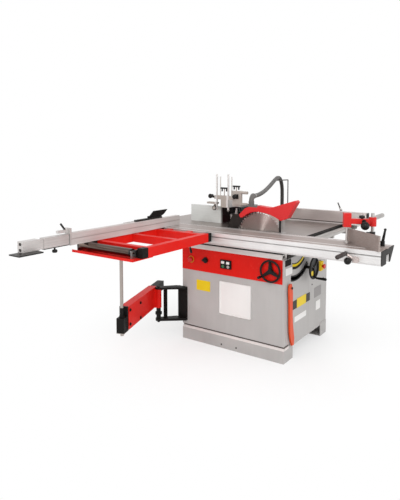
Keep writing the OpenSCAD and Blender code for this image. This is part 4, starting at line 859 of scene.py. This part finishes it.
# Service covers on the back and on the far side
SHEET = 0.0025
COVER_CORNER = 0.012
LOUVRES, LOUVRE_STEP = 6, 0.024
sheet_plate("rear_cover", (0.15, BACK, 0.18), (0.385, BACK + SHEET, 0.63), cover_grey, "machine",
            COVER_CORNER)
louvre = sheet_plate("rear_louvre_1", (0.19, BACK + SHEET, 0.54), (0.345, BACK + 0.0065, 0.549), louvre_grey,
                     "machine", 0.0035)
put_copies(louvre, "rear_louvre", [(0, 0, -LOUVRE_STEP * i) for i in range(1, LOUVRES)], "machine")
head = turned("cover_screw_1", [(0.006, 0), (0.006, 0.0012), (0.0052, 0.0026), (0.003, 0.0034), (0.0026, 0.0022)],
              (0.163, BACK + SHEET, 0.193), TO_BACK, dark_steel, "machine", 16)
put_copies(head, "cover_screw", [(0.209, 0, 0), (0, 0, 0.424), (0.209, 0, 0.424)], "machine")
sheet_plate("side_door", (FAR_SIDE - SHEET, -0.17, 0.18), (FAR_SIDE, 0.27, 0.62), cover_grey,
            "machine", COVER_CORNER)
pin = turned("door_hinge_1", [(0.0055, 0), (0.0065, 0.002), (0.0065, 0.05), (0.0055, 0.052)],
             (FAR_SIDE - 0.004, 0.274, 0.25), UPWARD, dark_steel, "machine", 16)
put_copies(pin, "door_hinge", [(0, 0, 0.25)], "machine")
turned("door_latch", [(0.014, 0), (0.014, 0.003), (0.011, 0.003), (0.0095, 0.012), (0.005, 0.0125)],
       (FAR_SIDE - SHEET, -0.14, 0.4), TO_FAR_SIDE, knob_black, "machine", 20)

# Hose clamps at the guard and at the manifold
CLAMP_WIDE = 0.012


def hose_clamp(name, at, along, body):
    start = Vector(at) - CLAMP_WIDE / 2 * Vector(along).normalized()
    ring_band(name, start, facing(along, (1, 0, 0)), (HOSE_R - 0.0005, HOSE_R + 0.0016), CLAMP_WIDE, bright_steel,
              body, count=36)


hose_clamp("hose_clamp_front", (0.0535, -0.135, 1.09), (-0.19, 0.98, 0), "rise_unit")
hose_clamp("hose_clamp_rear", (-0.095, 0.482, 0.4), (0, 1, 0), "machine")


def seen_directly(tree):
    """1 for what the eye, a reflection or glass shows, and 0 for light on the object."""
    rays = tree.nodes.new("ShaderNodeLightPath")
    seen = math_node(tree, "MAXIMUM", rays.outputs["Is Camera Ray"], rays.outputs["Is Glossy Ray"])
    return math_node(tree, "MAXIMUM", seen, rays.outputs["Is Transmission Ray"])


# Floor, white surroundings and studio light
AMBIENT = 0.55
bpy.ops.object.select_all(action="DESELECT")
bpy.ops.mesh.primitive_plane_add(size=60, location=(0, 0, -0.0005))  # a hair below the feet
floor = bpy.context.object
floor.name = "floor"
floor_look = bpy.data.materials.new("pale_floor")
floor_look.use_nodes = True
tree = floor_look.node_tree
shader = tree.nodes["Principled BSDF"]
shader.inputs["Base Color"].default_value = (0.93, 0.93, 0.93, 1)
shader.inputs["Roughness"].default_value = 0.9
shader.inputs["Specular IOR Level"].default_value = 0.1
seen = seen_directly(tree)
reach = tree.nodes.new("ShaderNodeVectorMath")
reach.operation = "LENGTH"
tree.links.new(tree.nodes.new("ShaderNodeTexCoord").outputs["Object"], reach.inputs[0])
away = remap(tree, reach.outputs["Value"], 0.5, 1.5, 0.55, 1.0)  # the shadow shows near the machine only
white = tree.nodes.new("ShaderNodeEmission")
white.inputs["Color"].default_value = (1, 1, 1, 1)
white.inputs["Strength"].default_value = 1.0
join = tree.nodes.new("ShaderNodeMixShader")
tree.links.new(math_node(tree, "MULTIPLY", seen, away), join.inputs[0])
tree.links.new(shader.outputs[0], join.inputs[1])
tree.links.new(white.outputs[0], join.inputs[2])
tree.links.new(join.outputs[0], tree.nodes["Material Output"].inputs["Surface"])
floor.data.materials.append(floor_look)

world = bpy.data.worlds.new("studio")
scene.world = world
world.use_nodes = True
tree = world.node_tree
back = tree.nodes["Background"]
back.inputs["Color"].default_value = (1, 1, 1, 1)
tree.links.new(remap(tree, seen_directly(tree), 0.0, 1.0, AMBIENT, 1.0), back.inputs["Strength"])


def soft_light(name, place, target, size, power, glint=True):
    data = bpy.data.lights.new(name, "AREA")
    data.shape = "RECTANGLE"
    data.size, data.size_y = size
    data.energy = power
    lamp = bpy.data.objects.new(name, data)
    lamp.location = place
    lamp.rotation_euler = (Vector(target) - Vector(place)).to_track_quat("-Z", "Y").to_euler()
    lamp.visible_glossy = glint
    scene.collection.objects.link(lamp)


SOFTBOX, OVERHEAD, SMALL = (3.0, 3.0), (4.0, 4.0), (0.5, 0.5)
soft_light("key", (2.6, -4.2, 3.8), (0, -0.4, 0.6), SOFTBOX, 125)
soft_light("fill_right", (4.8, -0.4, 2.4), (0, 0, 0.6), SOFTBOX, 60)
soft_light("fill_left", (-3.8, -3.6, 2.6), (0, -0.4, 0.6), SOFTBOX, 20)
soft_light("fill_front", (-1.6, -4.7, 1.6), (0.13, -0.2, 0.95), SMALL, 24)
soft_light("back", (-1.5, 4.5, 3.0), (0, 0, 0.6), SOFTBOX, 70, glint=False)
soft_light("top", (0.0, 0.3, 5.0), (0, 0, 0.8), OVERHEAD, 50, glint=False)
